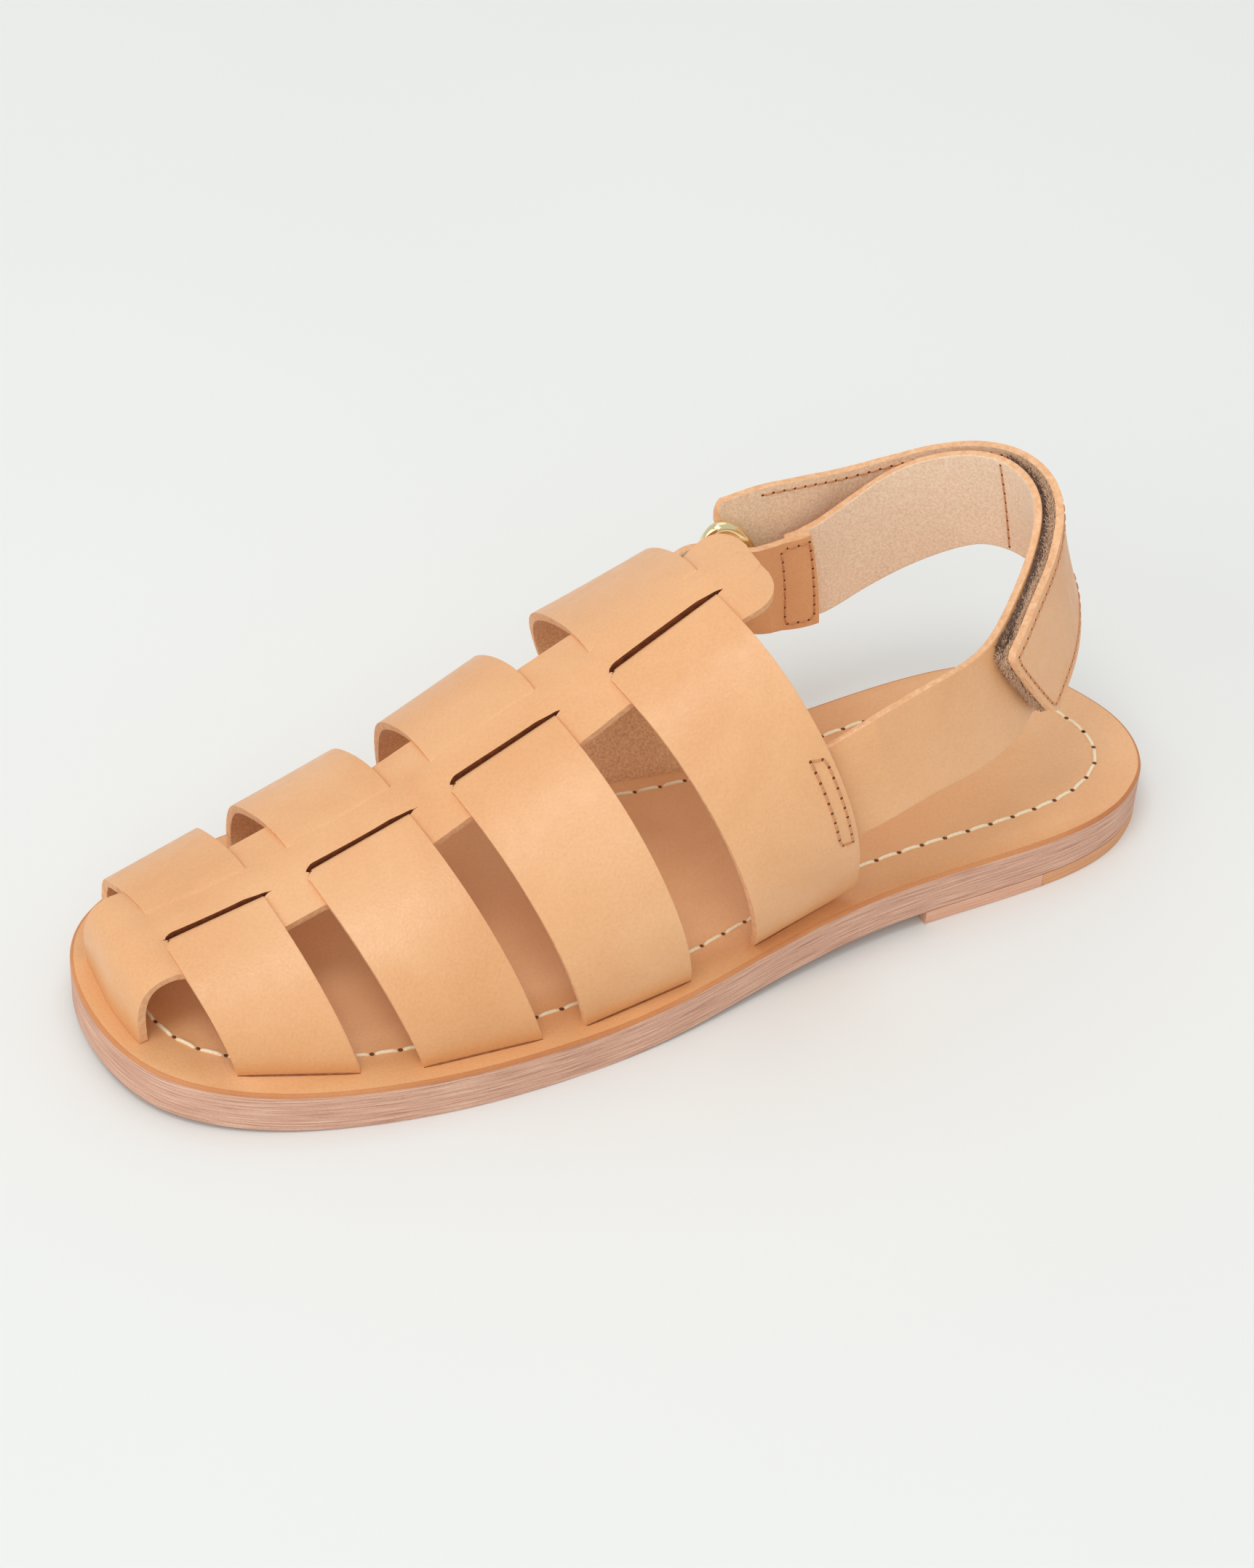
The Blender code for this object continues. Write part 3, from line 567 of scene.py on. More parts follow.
def closure_rows():
    """Rows of the closure strap: splice, round the ring's rear bar, and back outside to the tail."""
    part = np.linspace(1, 0, INNER_ROWS)[:, None]
    inner_share = FOLD_SHARE + (SPLICE_SHARE + SPLICE_SLANT * (1 - ACROSS) / 2 - FOLD_SHARE) * part
    inner_half = FOLD_HALF + (STRAP_HALF - FOLD_HALF) * part[:, 0]
    inner = strap_rows(inner_share, inner_gap, level(0), inner_half, (SLING_END_SHARE, FOLD_SHARE))
    middle, face, _, forward = (rows[0] for rows in loop_frame(np.array([FOLD_SHARE])))
    forward = unit(forward * np.array([1.0, 1.0, 0]))
    turns = np.radians(np.arange(FOLD_STEP, 176, FOLD_STEP))
    fold = []
    for turn in turns:
        climb = CLOSURE[-1, 2] * smooth((math.degrees(turn) - FOLD_CLIMB) / (180 - FOLD_CLIMB))
        round_ring = np.sign(math.cos(turn)) * abs(math.cos(turn)) ** FOLD_SQUARE * FOLD_GAP
        row = middle - face * round_ring + UP * (climb + ACROSS[:, None] * FOLD_HALF)
        fold.append(row + forward * FOLD_REACH * math.sin(turn) ** FOLD_SQUARE)
    count = np.arange(OUTER_ROWS)
    outer_half = np.interp(count, [0, 14], [FOLD_HALF, STRAP_HALF])
    outer_share = slanted(FOLD_SHARE, CLOSURE[0, 0], OUTER_ROWS)
    outer = strap_rows(outer_share, closure_gap, closure_rise, outer_half, UPRIGHT)
    inner = leaned(inner, np.interp(part[:, 0], [0, 0.5], [RING_LEAN, 0]))
    fold = leaned(np.array(fold), np.interp(turns, np.radians([90, 135]), [RING_LEAN, FOLD_LEAN]))
    outer = leaned(outer, np.interp(count, [0, 17], [FOLD_LEAN, 0]))
    return np.concatenate([inner, fold, outer])


def ring_bar(side):
    """Middle of the ring's rear (-1) or front (+1) side."""
    spot = loop_frame(np.array([FOLD_SHARE]))[0][0] + RING_AHEAD * RING_HALF_GAP * (1 + side)
    spot[2] = RING_HEIGHT
    return spot


def tab_rows():
    """Rows of the ring tab: under the rear strap, round the ring's front bar and back."""
    outer_lift = -(LEATHER + SEAT + TUCK + STRAP_LEATHER / 2)
    inner_lift = outer_lift - STRAP_LEATHER - SEAT
    bar = ring_bar(1) * (1, 1, 0) + UP * TAB_MIDDLE
    tail_out = []
    tail_in = []
    for share in np.linspace(0.5, 1.0, 7):
        seat = TAB_SEAT - TAB_SLOPE * (1 - share)
        tail_out.append(seat_row(share, -1, seat, outer_lift, TAB_HALF))
        tail_in.insert(0, seat_row(share, -1, seat, inner_lift, TAB_HALF))
    fold = []
    for turn in np.radians(np.arange(0, 181, FOLD_STEP)):
        row = bar + RING_OUT * TAB_GAP * math.cos(turn) + UP * ACROSS[:, None] * TAB_FOLD_HALF
        fold.append(row - RING_AHEAD * FOLD_REACH * math.sin(turn))
    rows = np.concatenate([tail_out, leaned(np.array(fold), RING_LEAN), tail_in])
    length = run_length(rows.mean(axis=1))
    smoothed = spline(length, rows.reshape(len(rows), -1), np.linspace(0, length[-1], TAB_ROWS))
    return smoothed.reshape(TAB_ROWS, -1, 3)


# Mesh making

def to_part(points):
    """Shoe millimetres to the part's frame in metres."""
    return (np.asarray(points, float) + SHIFT) * MM


def new_object(name, verts, faces, looks, indices=None, uvs=None):
    """Object from points in shoe millimetres."""
    mesh = bpy.data.meshes.new(name)
    mesh.from_pydata(to_part(verts).tolist(), [], [list(map(int, face)) for face in faces])
    for look in looks:
        mesh.materials.append(look)
    if indices is not None:
        mesh.polygons.foreach_set("material_index", np.asarray(indices, dtype=np.int32))
    if uvs is not None:
        layer = mesh.uv_layers.new(name="run")
        for loop in mesh.loops:
            layer.data[loop.index].uv = uvs[loop.vertex_index]
    mesh.polygons.foreach_set("use_smooth", np.ones(len(mesh.polygons), dtype=bool))
    mesh.update()
    made = bpy.data.objects.new(name, mesh)
    bpy.context.scene.collection.objects.link(made)
    return made


def grid_faces(rows, cols, skip=(), rows_round=False, cols_round=False):
    """Quads of a grid of points, without the skipped column gaps, closed round where asked."""
    faces = []
    for i in range(rows if rows_round else rows - 1):
        a = i * cols
        b = (i + 1) % rows * cols
        for j in range(cols if cols_round else cols - 1):
            n = (j + 1) % cols
            if j not in skip:
                faces.append((a + j, a + n, b + n, b + j))
    return faces


def join(item, gap=0.0005):
    """Join points that lie on each other, and turn all faces the same way."""
    shape = bmesh.new()
    shape.from_mesh(item.data)
    bmesh.ops.remove_doubles(shape, verts=shape.verts, dist=gap * MM)
    bmesh.ops.recalc_face_normals(shape, faces=shape.faces)
    shape.to_mesh(item.data)
    shape.free()


def face_out(item, wanted, part=slice(None)):
    """Turn an open surface so that a stretch of its faces agrees with a wanted direction."""
    score = sum(face.normal.dot(wanted(face.center)) for face in item.data.polygons[part])
    if score < 0:
        item.data.flip_normals()


def leather_sheet(item, thick, rounding=0.35):
    """Leather thickness with a flesh side, a cut edge and softly rounded rims."""
    step = item.modifiers.new("leather", "SOLIDIFY")
    step.thickness = thick * MM
    step.offset = 0.0
    step.use_even_offset = False
    step.use_quality_normals = True
    step.material_offset = 1
    step.material_offset_rim = 2
    edge = item.modifiers.new("edge", "BEVEL")
    edge.width = rounding * MM
    edge.segments = 2
    edge.limit_method = "ANGLE"
    edge.angle_limit = math.radians(50)
    edge.use_clamp_overlap = True
    item.modifiers.new("flat", "WEIGHTED_NORMAL")
    apply_all(item)


def apply_all(item):
    """Bake an object's modifiers into its mesh."""
    bpy.context.view_layer.update()
    graph = bpy.context.evaluated_depsgraph_get()
    mesh = bpy.data.meshes.new_from_object(item.evaluated_get(graph))
    mesh.name = item.name
    item.modifiers.clear()
    item.data = mesh


def dress(item, slot, *nodes):
    """Ride on the sandal and stand for solids."""
    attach(item, "root")
    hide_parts(*nodes)


# Materials

FACTOR_IN, TONE_IN, TINT_IN, TONE_OUT = 0, 6, 7, 2


def set_inputs(node, **values):
    """Constant values on a node's own sockets."""
    for name, value in values.items():
        node.inputs[name.replace("_", " ")].default_value = value


class Look:
    """Principled material built from a few procedural layers."""

    def __init__(self, name, rough, metal=0.0, **values):
        self.material = bpy.data.materials.new(name)
        self.material.use_nodes = True
        self.tree = self.material.node_tree
        self.shader = self.tree.nodes["Principled BSDF"]
        set_inputs(self.shader, Roughness=rough, Metallic=metal, **values)
        self.where = self.add("TexCoord").outputs["Object"]

    def add(self, kind, where=None, **values):
        """New node with values on its inputs, and a source for its coordinates."""
        node = self.tree.nodes.new("ShaderNode" + kind)
        set_inputs(node, **values)
        if where:
            self.link(where, node.inputs["Vector"])
        return node

    def link(self, one, two):
        self.tree.links.new(one, two)

    def noise(self, scale, detail=3.0, rough=0.5, where=None, twist=0.0):
        node = self.add("TexNoise", where or self.where, Scale=scale, Detail=detail, Roughness=rough,
                        Distortion=twist)
        return node.outputs["Fac"]

    def ramp(self, fac, *stops):
        """Colours at places along a factor."""
        node = self.add("ValToRGB")
        band = node.color_ramp
        while len(band.elements) < len(stops):
            band.elements.new(0.5)
        for mark, (place, colour) in zip(band.elements, stops):
            mark.position = place
            mark.color = (*colour, 1.0)
        self.link(fac, node.inputs["Fac"])
        return node.outputs["Color"]

    def spread(self, fac, low, high, start=0.3, end=0.7):
        """A factor brought from one range to another."""
        node = self.add("MapRange", From_Min=start, From_Max=end, To_Min=low, To_Max=high)
        self.link(fac, node.inputs["Value"])
        return node.outputs["Result"]

    def times(self, tone, tint, share):
        """Tone multiplied by a share of a tint."""
        node = self.add("Mix")
        node.data_type = "RGBA"
        node.blend_type = "MULTIPLY"
        node.inputs[FACTOR_IN].default_value = share
        self.link(tone, node.inputs[TONE_IN])
        self.link(tint, node.inputs[TINT_IN])
        return node.outputs[TONE_OUT]

    def shaded(self, tone, axis, stops):
        """Tone multiplied by tints at places along one axis, in millimetres of the part, to paint shade and
        light by place.
        """
        first = stops[0][0]
        span = stops[-1][0] - first
        place = self.add("SeparateXYZ", self.where).outputs[axis]
        share = self.spread(place, 0, 1, first * MM, (first + span) * MM)
        return self.times(tone, self.ramp(share, *(((at - first) / span, tint) for at, tint in stops)), 1.0)

    def colour(self, source):
        self.link(source, self.shader.inputs["Base Color"])

    def bump(self, height, depth, strength):
        """Bump of a height map, stacked on earlier bumps. Depth in millimetres."""
        node = self.add("Bump", Strength=strength, Distance=depth * MM)
        self.link(height, node.inputs["Height"])
        old = self.shader.inputs["Normal"]
        if old.is_linked:
            self.link(old.links[0].from_socket, node.inputs["Normal"])
        self.link(node.outputs["Normal"], old)


def srgb(colour):
    """Linear colour of an 8-bit screen colour."""
    value = np.array(colour) / 255
    return np.where(value <= 0.04045, value / 12.92, ((value + 0.055) / 1.055) ** 2.4).tolist()


NO_TINT = (1.0, 1.0, 1.0)
GRAIN_DEPTH = 0.05


def grain_leather(name, light, middle, dark, rough, shades=()):
    """Smooth vegetable-tanned leather: fine pores, soft mottling, a dull sheen and painted shade and light by
    place.
    """
    look = Look(name, rough, Specular_IOR_Level=0.42)
    clouds = look.noise(26, 4, 0.55, twist=0.4)
    tone = look.ramp(clouds, (0.28, srgb(dark)), (0.5, srgb(middle)), (0.74, srgb(light)))
    fleck = look.ramp(look.noise(1500, 2, 0.6), (0.32, (0.90, 0.88, 0.86)), (0.62, NO_TINT))
    tone = look.times(tone, fleck, 0.55)
    for axis, stops in shades:
        tone = look.shaded(tone, axis, stops)
    look.colour(tone)
    look.link(look.spread(look.noise(300, 3), rough - 0.07, rough + 0.07), look.shader.inputs["Roughness"])
    pores = look.add("TexVoronoi", look.where, Scale=1500).outputs["Distance"]
    look.bump(pores, GRAIN_DEPTH * 1.6, 0.5)
    look.bump(look.noise(420, 5, 0.6), GRAIN_DEPTH * 1.4, 0.3)
    return look.material


def suede(name, light, dark):
    """Raw flesh side of leather: short mottled nap."""
    look = Look(name, 0.92, Sheen_Weight=0.25, Sheen_Roughness=0.5, Specular_IOR_Level=0.2)
    nap = look.noise(1700, 3, 0.6, twist=0.2)
    fine = look.ramp(nap, (0.32, srgb(dark)), (0.66, srgb(light)))
    broad = look.ramp(look.noise(60, 3, 0.5), (0.3, (0.92, 0.91, 0.90)), (0.7, NO_TINT))
    look.colour(look.times(fine, broad, 0.7))
    look.bump(nap, 0.22, 0.6)
    return look.material


def nap_or_dye(name, light, dark, noise, bump, rough, metal=0.0, **values):
    """Cut edge, tape, thread or metal: two tones and a bump from one noise."""
    look = Look(name, rough, metal, **values)
    tone = look.noise(*noise)
    look.colour(look.ramp(tone, (0.3, srgb(dark)), (0.7, srgb(light))))
    look.bump(tone, *bump)
    return look.material


def cut_edge(name, light, dark):
    """Raw cut edge of leather: fibres along the thickness."""
    return nap_or_dye(name, light, dark, (700, 4, 0.6), (0.06, 0.5), 0.75, Specular_IOR_Level=0.25)


def fibre_cloth(name, light, dark):
    """Brown tape of hooks or loops."""
    return nap_or_dye(name, light, dark, (1400, 4, 0.7, None, 1.0), (0.4, 0.8), 0.95, Sheen_Weight=0.35)


def plain(name, light, dark, rough, metal=0.0, scale=2000):
    """Thread, metal or dye with a slight change of tone."""
    return nap_or_dye(name, light, dark, (scale, 2), (0.01, 0.2), rough, metal)


def sole_edge(name, light, middle, dark, line):
    """Edge of a stacked leather layer: fine streaks along the sole with speckle."""
    look = Look(name, 0.7, Specular_IOR_Level=0.3)
    run = look.add("UVMap")
    run.uv_map = "run"
    streak_run, speck_run = (look.add("Mapping", run.outputs["UV"], Scale=scale).outputs["Vector"]
                             for scale in ((7, 26, 1), (130, 60, 1)))
    streak = look.noise(1.0, 4, 0.6, streak_run)
    speck = look.noise(1.0, 3, 0.7, speck_run)
    tone = look.ramp(streak, (0.25, srgb(dark)), (0.5, srgb(middle)), (0.78, srgb(light)))
    look.colour(look.times(tone, look.ramp(speck, (0.3, line), (0.52, NO_TINT)), 0.6))
    look.bump(streak, 0.08, 0.4)
    look.bump(speck, 0.05, 0.4)
    return look.material


# Painted shade and light by place: straps are painted darker near the sole, where less light reaches them;
# the footbed is painted darker under the ankle, at the toe and past its stitches, where the margin also
# darkens as a burnished edge
STRAP_PAINTED_SHADE = ((12.0, (0.92, 0.85, 0.74)), (34.0, NO_TINT))
MARGIN_SHADE_AND_BURNISH = (0.83, 0.71, 0.58)
BED_SHADE_ALONG = ((-120.0, (0.91, 0.87, 0.85)), (-86.0, (0.87, 0.79, 0.72)), (-52.0, (0.79, 0.68, 0.59)),
             (20.0, NO_TINT), (103.0, NO_TINT), (111.0, (0.86, 0.77, 0.66)))
BED_SHADE_ACROSS = ((-37.0, MARGIN_SHADE_AND_BURNISH), (-28.0, NO_TINT), (29.0, NO_TINT), (37.0, MARGIN_SHADE_AND_BURNISH))

STRAP_GRAIN = grain_leather("strap_grain", (240, 187, 139), (235, 178, 127), (228, 168, 116), 0.38,
                            [("Z", STRAP_PAINTED_SHADE)])
STRAP_FLESH = suede("cage_flesh", (246, 202, 156), (216, 164, 120))
STRAP_CUT = cut_edge("strap_cut", (246, 200, 158), (226, 168, 120))
SLING_FLESH = suede("sling_flesh", (255, 238, 214), (240, 208, 178))
CLOSURE_FLESH = suede("closure_flesh", (255, 232, 202), (236, 198, 162))
# Painted shade for the weave slits: a dark brown that stands in for the shadow inside them
SLIT_PAINTED_SHADE = cut_edge("slit_shade", (150, 84, 48), (108, 58, 32))
# Painted contact shadow: a dark brown for the thin tubes along the strap feet
STRAP_FOOT_SHADOW = cut_edge("strap_foot_shadow", (164, 102, 62), (128, 76, 46))
# The footbed's ground colour is lighter than its leather, painting light into the shaded forefoot under the
# cage; the painted shade along and across it takes it back down at the heel, the toe and the margins, where
# the margin is partly a real burnished edge
FOOTBED_GRAIN = grain_leather("footbed_grain", (254, 207, 158), (251, 199, 149), (244, 188, 138), 0.5,
                              [("X", BED_SHADE_ALONG), ("Y", BED_SHADE_ACROSS)])
FOOTBED_RIM = grain_leather("footbed_rim", (217, 149, 97), (207, 136, 84), (193, 119, 69), 0.55)
SOLE_SIDE = sole_edge("sole_side", (244, 208, 184), (216, 170, 146), (168, 117, 97), (0.70, 0.63, 0.60))
LIFT_SIDE = sole_edge("lift_side", (242, 198, 170), (228, 178, 150), (206, 152, 124), (0.86, 0.82, 0.8))
TOP_PIECE_SIDE = sole_edge("top_piece_side", (232, 178, 136), (222, 164, 120), (206, 146, 102),
                           (0.9, 0.86, 0.84))
SOLE_UNDER = grain_leather("sole_under", (206, 156, 122), (196, 144, 108), (180, 126, 92), 0.6)
GOLD = plain("pale_gold", (250, 236, 196), (240, 222, 172), 0.12, 1.0, 90)
HOOK_TAPE = fibre_cloth("hook_tape_nap", (240, 196, 156), (198, 150, 112))
LOOP_TAPE = fibre_cloth("loop_tape_nap", (130, 88, 62), (76, 48, 33))
PALE_FIBRE = fibre_cloth("pale_fibre", (250, 212, 174), (214, 166, 128))
DARK_FIBRE = fibre_cloth("dark_fibre", (150, 104, 74), (88, 56, 38))
CREAM_THREAD = plain("cream_thread", (255, 244, 214), (244, 226, 188), 0.7)
BROWN_THREAD = plain("brown_thread", (218, 156, 108), (196, 132, 86), 0.7)
# Needle holes are dark discs: their colour is painted shade inside the holes
NEEDLE_HOLE = plain("needle_hole", (128, 76, 44), (92, 52, 30), 0.9)

# Slots 3 and 5 are painted shade: faces in the weave slits take the dark slit colour for the shadow there
CAGE_LOOKS = (STRAP_GRAIN, STRAP_FLESH, STRAP_CUT, SLIT_PAINTED_SHADE, STRAP_FLESH, SLIT_PAINTED_SHADE)


# Sole pieces

SOLE_STEPS = 130
CAP_COLUMNS = 14


def sole_stations(start, end, count):
    """Stations that crowd towards the round ends of the sole."""
    low = math.acos(1 - 2 * start / SOLE_LENGTH)
    high = math.acos(max(1 - 2 * end / SOLE_LENGTH, -1))
    return SOLE_LENGTH / 2 * (1 - np.cos(np.linspace(low, high, count)))


def sole_plan(start, end, count):
    """Closed plan loop of a stretch of the sole, and whether it starts in the heel's tip."""
    xs = sole_stations(start, end, count)
    edges = sole_edges(xs)
    lateral = np.stack([xs, edges[:, 0]], axis=1)
    medial = np.stack([xs, edges[:, 1]], axis=1)
    loop = np.concatenate([lateral, medial[::-1]])
    keep = np.ones(len(loop), bool)
    keep[1:] = np.linalg.norm(np.diff(loop, axis=0), axis=1) > 1e-4
    plan = loop[keep]
    if np.linalg.norm(plan[0] - plan[-1]) < 1e-4:
        plan = plan[:-1]
    return plan, abs(edges[0, 0] - edges[0, 1]) < 1e-3


def inward(loop):
    """Inward normals of a closed plan loop."""
    step = np.roll(loop, -1, axis=0) - np.roll(loop, 1, axis=0)
    normal = unit(np.stack([step[:, 1], -step[:, 0]], axis=1))
    centre = loop.mean(axis=0)
    return normal * np.sign(np.sum(normal * (centre - loop)))


def sole_piece(node, slot, profile, looks, start=0.0, end=SOLE_LENGTH, count=SOLE_STEPS):
    """Layer of the sole. The profile lists inset, height and look from the lower edge to the upper edge."""
    plan, one_tip = sole_plan(start, end, count)
    normal = inward(plan)
    run = run_length(np.vstack([plan, plan[:1]]))[:-1]
    size = len(plan)
    top = len(profile) - 1
    verts = []
    uvs = []
    for inset, height, _ in profile:
        edge = plan + normal * inset
        z = height(edge[:, 0])
        verts.append(np.column_stack([edge, z]))
        uvs.append(np.column_stack([run * 0.01, (z - under_sole(edge[:, 0])) * 0.1]))
    faces = grid_faces(len(profile), size, cols_round=True)
    indices = [look for _, _, look in profile[1:] for _ in range(size)]
    total = len(profile) * size
    first = int(one_tip)
    pairs = (size - first) // 2
    for k, look in ((0, len(looks) - 1), (top, 0)):
        base = k * size
        rows = [[base] * (CAP_COLUMNS + 1)] if one_tip else []
        for i in range(first, first + pairs):
            j = size - 1 + first - i
            a, b = verts[k][i], verts[k][j]
            spots = a + (b - a) * np.arange(1, CAP_COLUMNS)[:, None] / CAP_COLUMNS
            spots[:, 2] = profile[k][1](spots[:, 0])
            verts.append(spots)
            uvs.append(spots[:, :2] * 0.01)
            rows.append([base + i, *range(total, total + len(spots)), base + j])
            total += len(spots)
        if (size - first) % 2:
            rows.append([base + first + pairs] * (CAP_COLUMNS + 1))
        for near, far in zip(rows, rows[1:]):
            quads = [(near[c], far[c], far[c + 1], near[c + 1]) for c in range(CAP_COLUMNS)]
            faces += [tuple(dict.fromkeys(quad)) for quad in quads]
            indices += [look] * CAP_COLUMNS
    made = new_object(node + "_leather", np.concatenate(verts), faces, looks, indices, np.concatenate(uvs))
    join(made)
    made.data.set_sharp_from_angle(angle=math.radians(40))
    dress(made, slot, node)


def above(offset):
    """Height over the underside of the outsole."""
    return lambda x: under_sole(x) + offset


def on_floor(offset):
    """Height over the floor."""
    return lambda x: 0.0 * np.asarray(x, float) + offset


MID_LOW = OUTSOLE_THICK + SEAT / 2
BED_LOW = SOLE_THICK - FOOTBED_THICK - SEAT / 2
JOINT = 0.05
EDGE = 1
RIM = 2


def side_profile(height, low, high, soft=JOINT, between=()):
    """Side of a sole layer from its lower to its upper edge, both softened."""
    straight = [(0.0, mark) for mark in (low + soft, *between, high - JOINT)]
    marks = [(soft, low), *straight, (JOINT, high)]
    return [(inset, height(mark), EDGE) for inset, mark in marks]


bed_profile = [
    (JOINT, above(BED_LOW), EDGE),
    (0.0, above(BED_LOW + JOINT), EDGE),
    (0.0, above(BED_LOW + 1.6), EDGE),
    (0.0, above(SOLE_THICK - 0.8), EDGE),
    (0.12, above(SOLE_THICK - 0.38), RIM),
    (0.35, above(SOLE_THICK - 0.12), RIM),
    (0.75, above(SOLE_THICK), RIM),
]
heel_profile = side_profile(on_floor, 0.0, HEEL_HEIGHT, 0.2)
SOLE_LOOKS = (SOLE_UNDER, SOLE_SIDE, SOLE_UNDER)

sole_piece("outsole", "sole_leather", side_profile(above, 0.0, MID_LOW, 0.25, [1.6]), SOLE_LOOKS)
sole_piece("midsole", "sole_leather", side_profile(above, MID_LOW, BED_LOW, between=[MID_LOW + 1.4]),
           SOLE_LOOKS)
sole_piece("footbed", "footbed_leather", bed_profile, (FOOTBED_GRAIN, SOLE_SIDE, FOOTBED_RIM, SOLE_UNDER))
sole_piece("heel_lift", "lift_leather", heel_profile, (SOLE_UNDER, LIFT_SIDE, SOLE_UNDER),
           HEEL_SEAM + JOINT, HEEL_BREAST, 26)
sole_piece("heel_top_piece", "top_piece_leather", heel_profile, (SOLE_UNDER, TOP_PIECE_SIDE, SOLE_UNDER),
           0.0, HEEL_SEAM - JOINT, 44)

# Cage pieces

SLIT_SPAN = (106.0, 241.0)
SLIT_REACH = 9.5
CUT = 2
DARK = 3


def away_from(x, y, z, rise=1.0):
    """Direction away from a point of the shoe, with a share of its rise."""
    start = Vector(to_part((x, y, z)))
    return lambda spot: (spot - start) * Vector((1.0, 1.0, rise))


def ribbon(name, rows, looks, slot, node, wanted, thick=STRAP_LEATHER, rounding=0.35, part=slice(None),
           indices=None):
    """Strip through rows of points, with its grain side turned the wanted way over a stretch of its faces."""
    made = new_object(name, rows.reshape(-1, 3), grid_faces(*rows.shape[:2]), looks, indices)
    face_out(made, wanted, part)
    leather_sheet(made, thick, rounding)
    dress(made, slot, node)


from_last = away_from(165.0, 0.0, 12.0)
spine_grid = spine_surface()
spine = new_object("spine_leather", spine_grid.reshape(-1, 3),
                   grid_faces(*spine_grid.shape[:2], skip=SLITS), CAGE_LOOKS)
join(spine)
face_out(spine, from_last)
leather_sheet(spine, LEATHER)
# Painted shade: the cut edges along the slits take the dark slit colour for the shadow inside them
slit_low, slit_high = (np.array(SLIT_SPAN) + SHIFT[0]) * MM
for face in spine.data.polygons:
    in_slit = abs(face.center.y) < SLIT_REACH * MM and slit_low < face.center.x < slit_high
    if face.material_index == CUT and in_slit:
        face.material_index = DARK
dress(spine, "strap_leather", "cage_upper")

for number in range(4):
    surface, _, depth = cross_strap(number)
    # Painted shade: strap faces that dive under the centre band take the dark slit colour for the shadow
    # there
    shaded_under_band = np.minimum(depth[:-1, :-1], depth[1:, 1:]) < 0.72
    ribbon("cross_strap_%d" % (number + 1), surface, CAGE_LOOKS, "strap_leather", "cage_upper", from_last,
           LEATHER, indices=np.where(shaded_under_band, DARK, 0).ravel())

# Heel strap pieces

def to_inner_side(_):
    """Direction of the shoe's inner side."""
    return Vector((0, -1, 0))


from_loop = away_from(65.0, -3.0, 50.0, 0.0)
SEAT_SHARES = np.linspace(0.5, 1.0, 6)
SLING_START = 0.03
SLING_ROWS = 110
TAB_SEAT_ROWS = 8
CLOSURE_LOOKS = (STRAP_GRAIN, CLOSURE_FLESH, STRAP_CUT)
row_faces = len(ACROSS) - 1

seat_lift = -(LEATHER + SEAT + TUCK + STRAP_LEATHER / 2)
seat_part = np.array([seat_row(share, 1, SLING_SEAT, seat_lift, SLING_FLARE) for share in SEAT_SHARES])
sling_share = np.linspace(SLING_START, SLING_END_SHARE, SLING_ROWS)
sling_half = np.interp(sling_share, [SPLICE_SHARE, SLING_END_SHARE], [STRAP_HALF, FOLD_HALF])
sling_rows = np.concatenate([seat_part, strap_rows(sling_share, level(0), level(0), sling_half)])
ribbon("sling_leather", sling_rows, (STRAP_GRAIN, SLING_FLESH, STRAP_CUT), "strap_leather", "sling_strap",
       from_loop)
closure = closure_rows()
ribbon("closure_leather", closure, CLOSURE_LOOKS, "strap_leather", "closure_strap", from_loop,
       part=slice(len(closure) // 2 * row_faces, None))
tab = tab_rows()
ribbon("ring_tab_leather", tab, CLOSURE_LOOKS, "strap_leather", "ring_tab", to_inner_side,
       part=slice(TAB_SEAT_ROWS * row_faces))

tape_share = slanted(TAPE_END_SHARE, CLOSURE[0, 0] + 0.002, 60)
loop_gap = STRAP_LEATHER / 2 + SEAT + TAPE_THICK / 2
hook_gap = loop_gap + TAPE_THICK + SEAT
loop_rows = strap_rows(tape_share, level(loop_gap), level(0), STRAP_HALF - 2.5)
hook_rows = strap_rows(tape_share, level(hook_gap), closure_rise, STRAP_HALF - 1.0)
for kind, rows, look in (("loop", loop_rows, LOOP_TAPE), ("hook", hook_rows, HOOK_TAPE)):
    ribbon(kind + "_tape_cloth", rows, (look,) * 3, kind + "_fabric", kind + "_tape", from_loop,
           TAPE_THICK, 0.15)

# Stitches, needle holes and tape fibres

STITCH_INSET = 10.5
STITCH_BOW = np.array([(0.0, -0.9), (0.07, -0.1), (0.25, 0.4), (0.75, 0.4), (0.93, -0.1), (1.0, -0.9)])
PIT_DEPTH = (-0.25, 0.0, 0.03)
PIT_WIDTH = (0.3, 1.0, 0.5)
STITCH_SHARE = 0.84
STITCH_WIDTH = (0.7, 0.95, 1, 1, 0.95, 0.7)
BED_SEAM = {"pitch": 6.0, "radius": 0.44, "hole": 0.55}
STRAP_SEAM = {"pitch": 2.6, "radius": 0.24, "hole": 0.36}
FOOT_SHADOW_WIDTH = np.interp(STRAP_SHARES, [0, 0.1, 0.9, 1], [0.08, 0.26, 0.26, 0.08])
dice = np.random.default_rng(11)


def tubes(paths, beside_path, radii, sides):
    """Stacks of rings round many short paths."""
    ahead = unit(paths[:, -1] - paths[:, 0])
    side = unit(np.cross(beside_path, ahead))
    up = np.cross(ahead, side)
    turns = np.linspace(0, 2 * math.pi, sides, endpoint=False)
    ring = side[:, None] * np.cos(turns)[:, None] + up[:, None] * np.sin(turns)[:, None]
    return paths[:, :, None] + np.reshape(radii, (1, -1, 1, 1)) * ring[:, None]


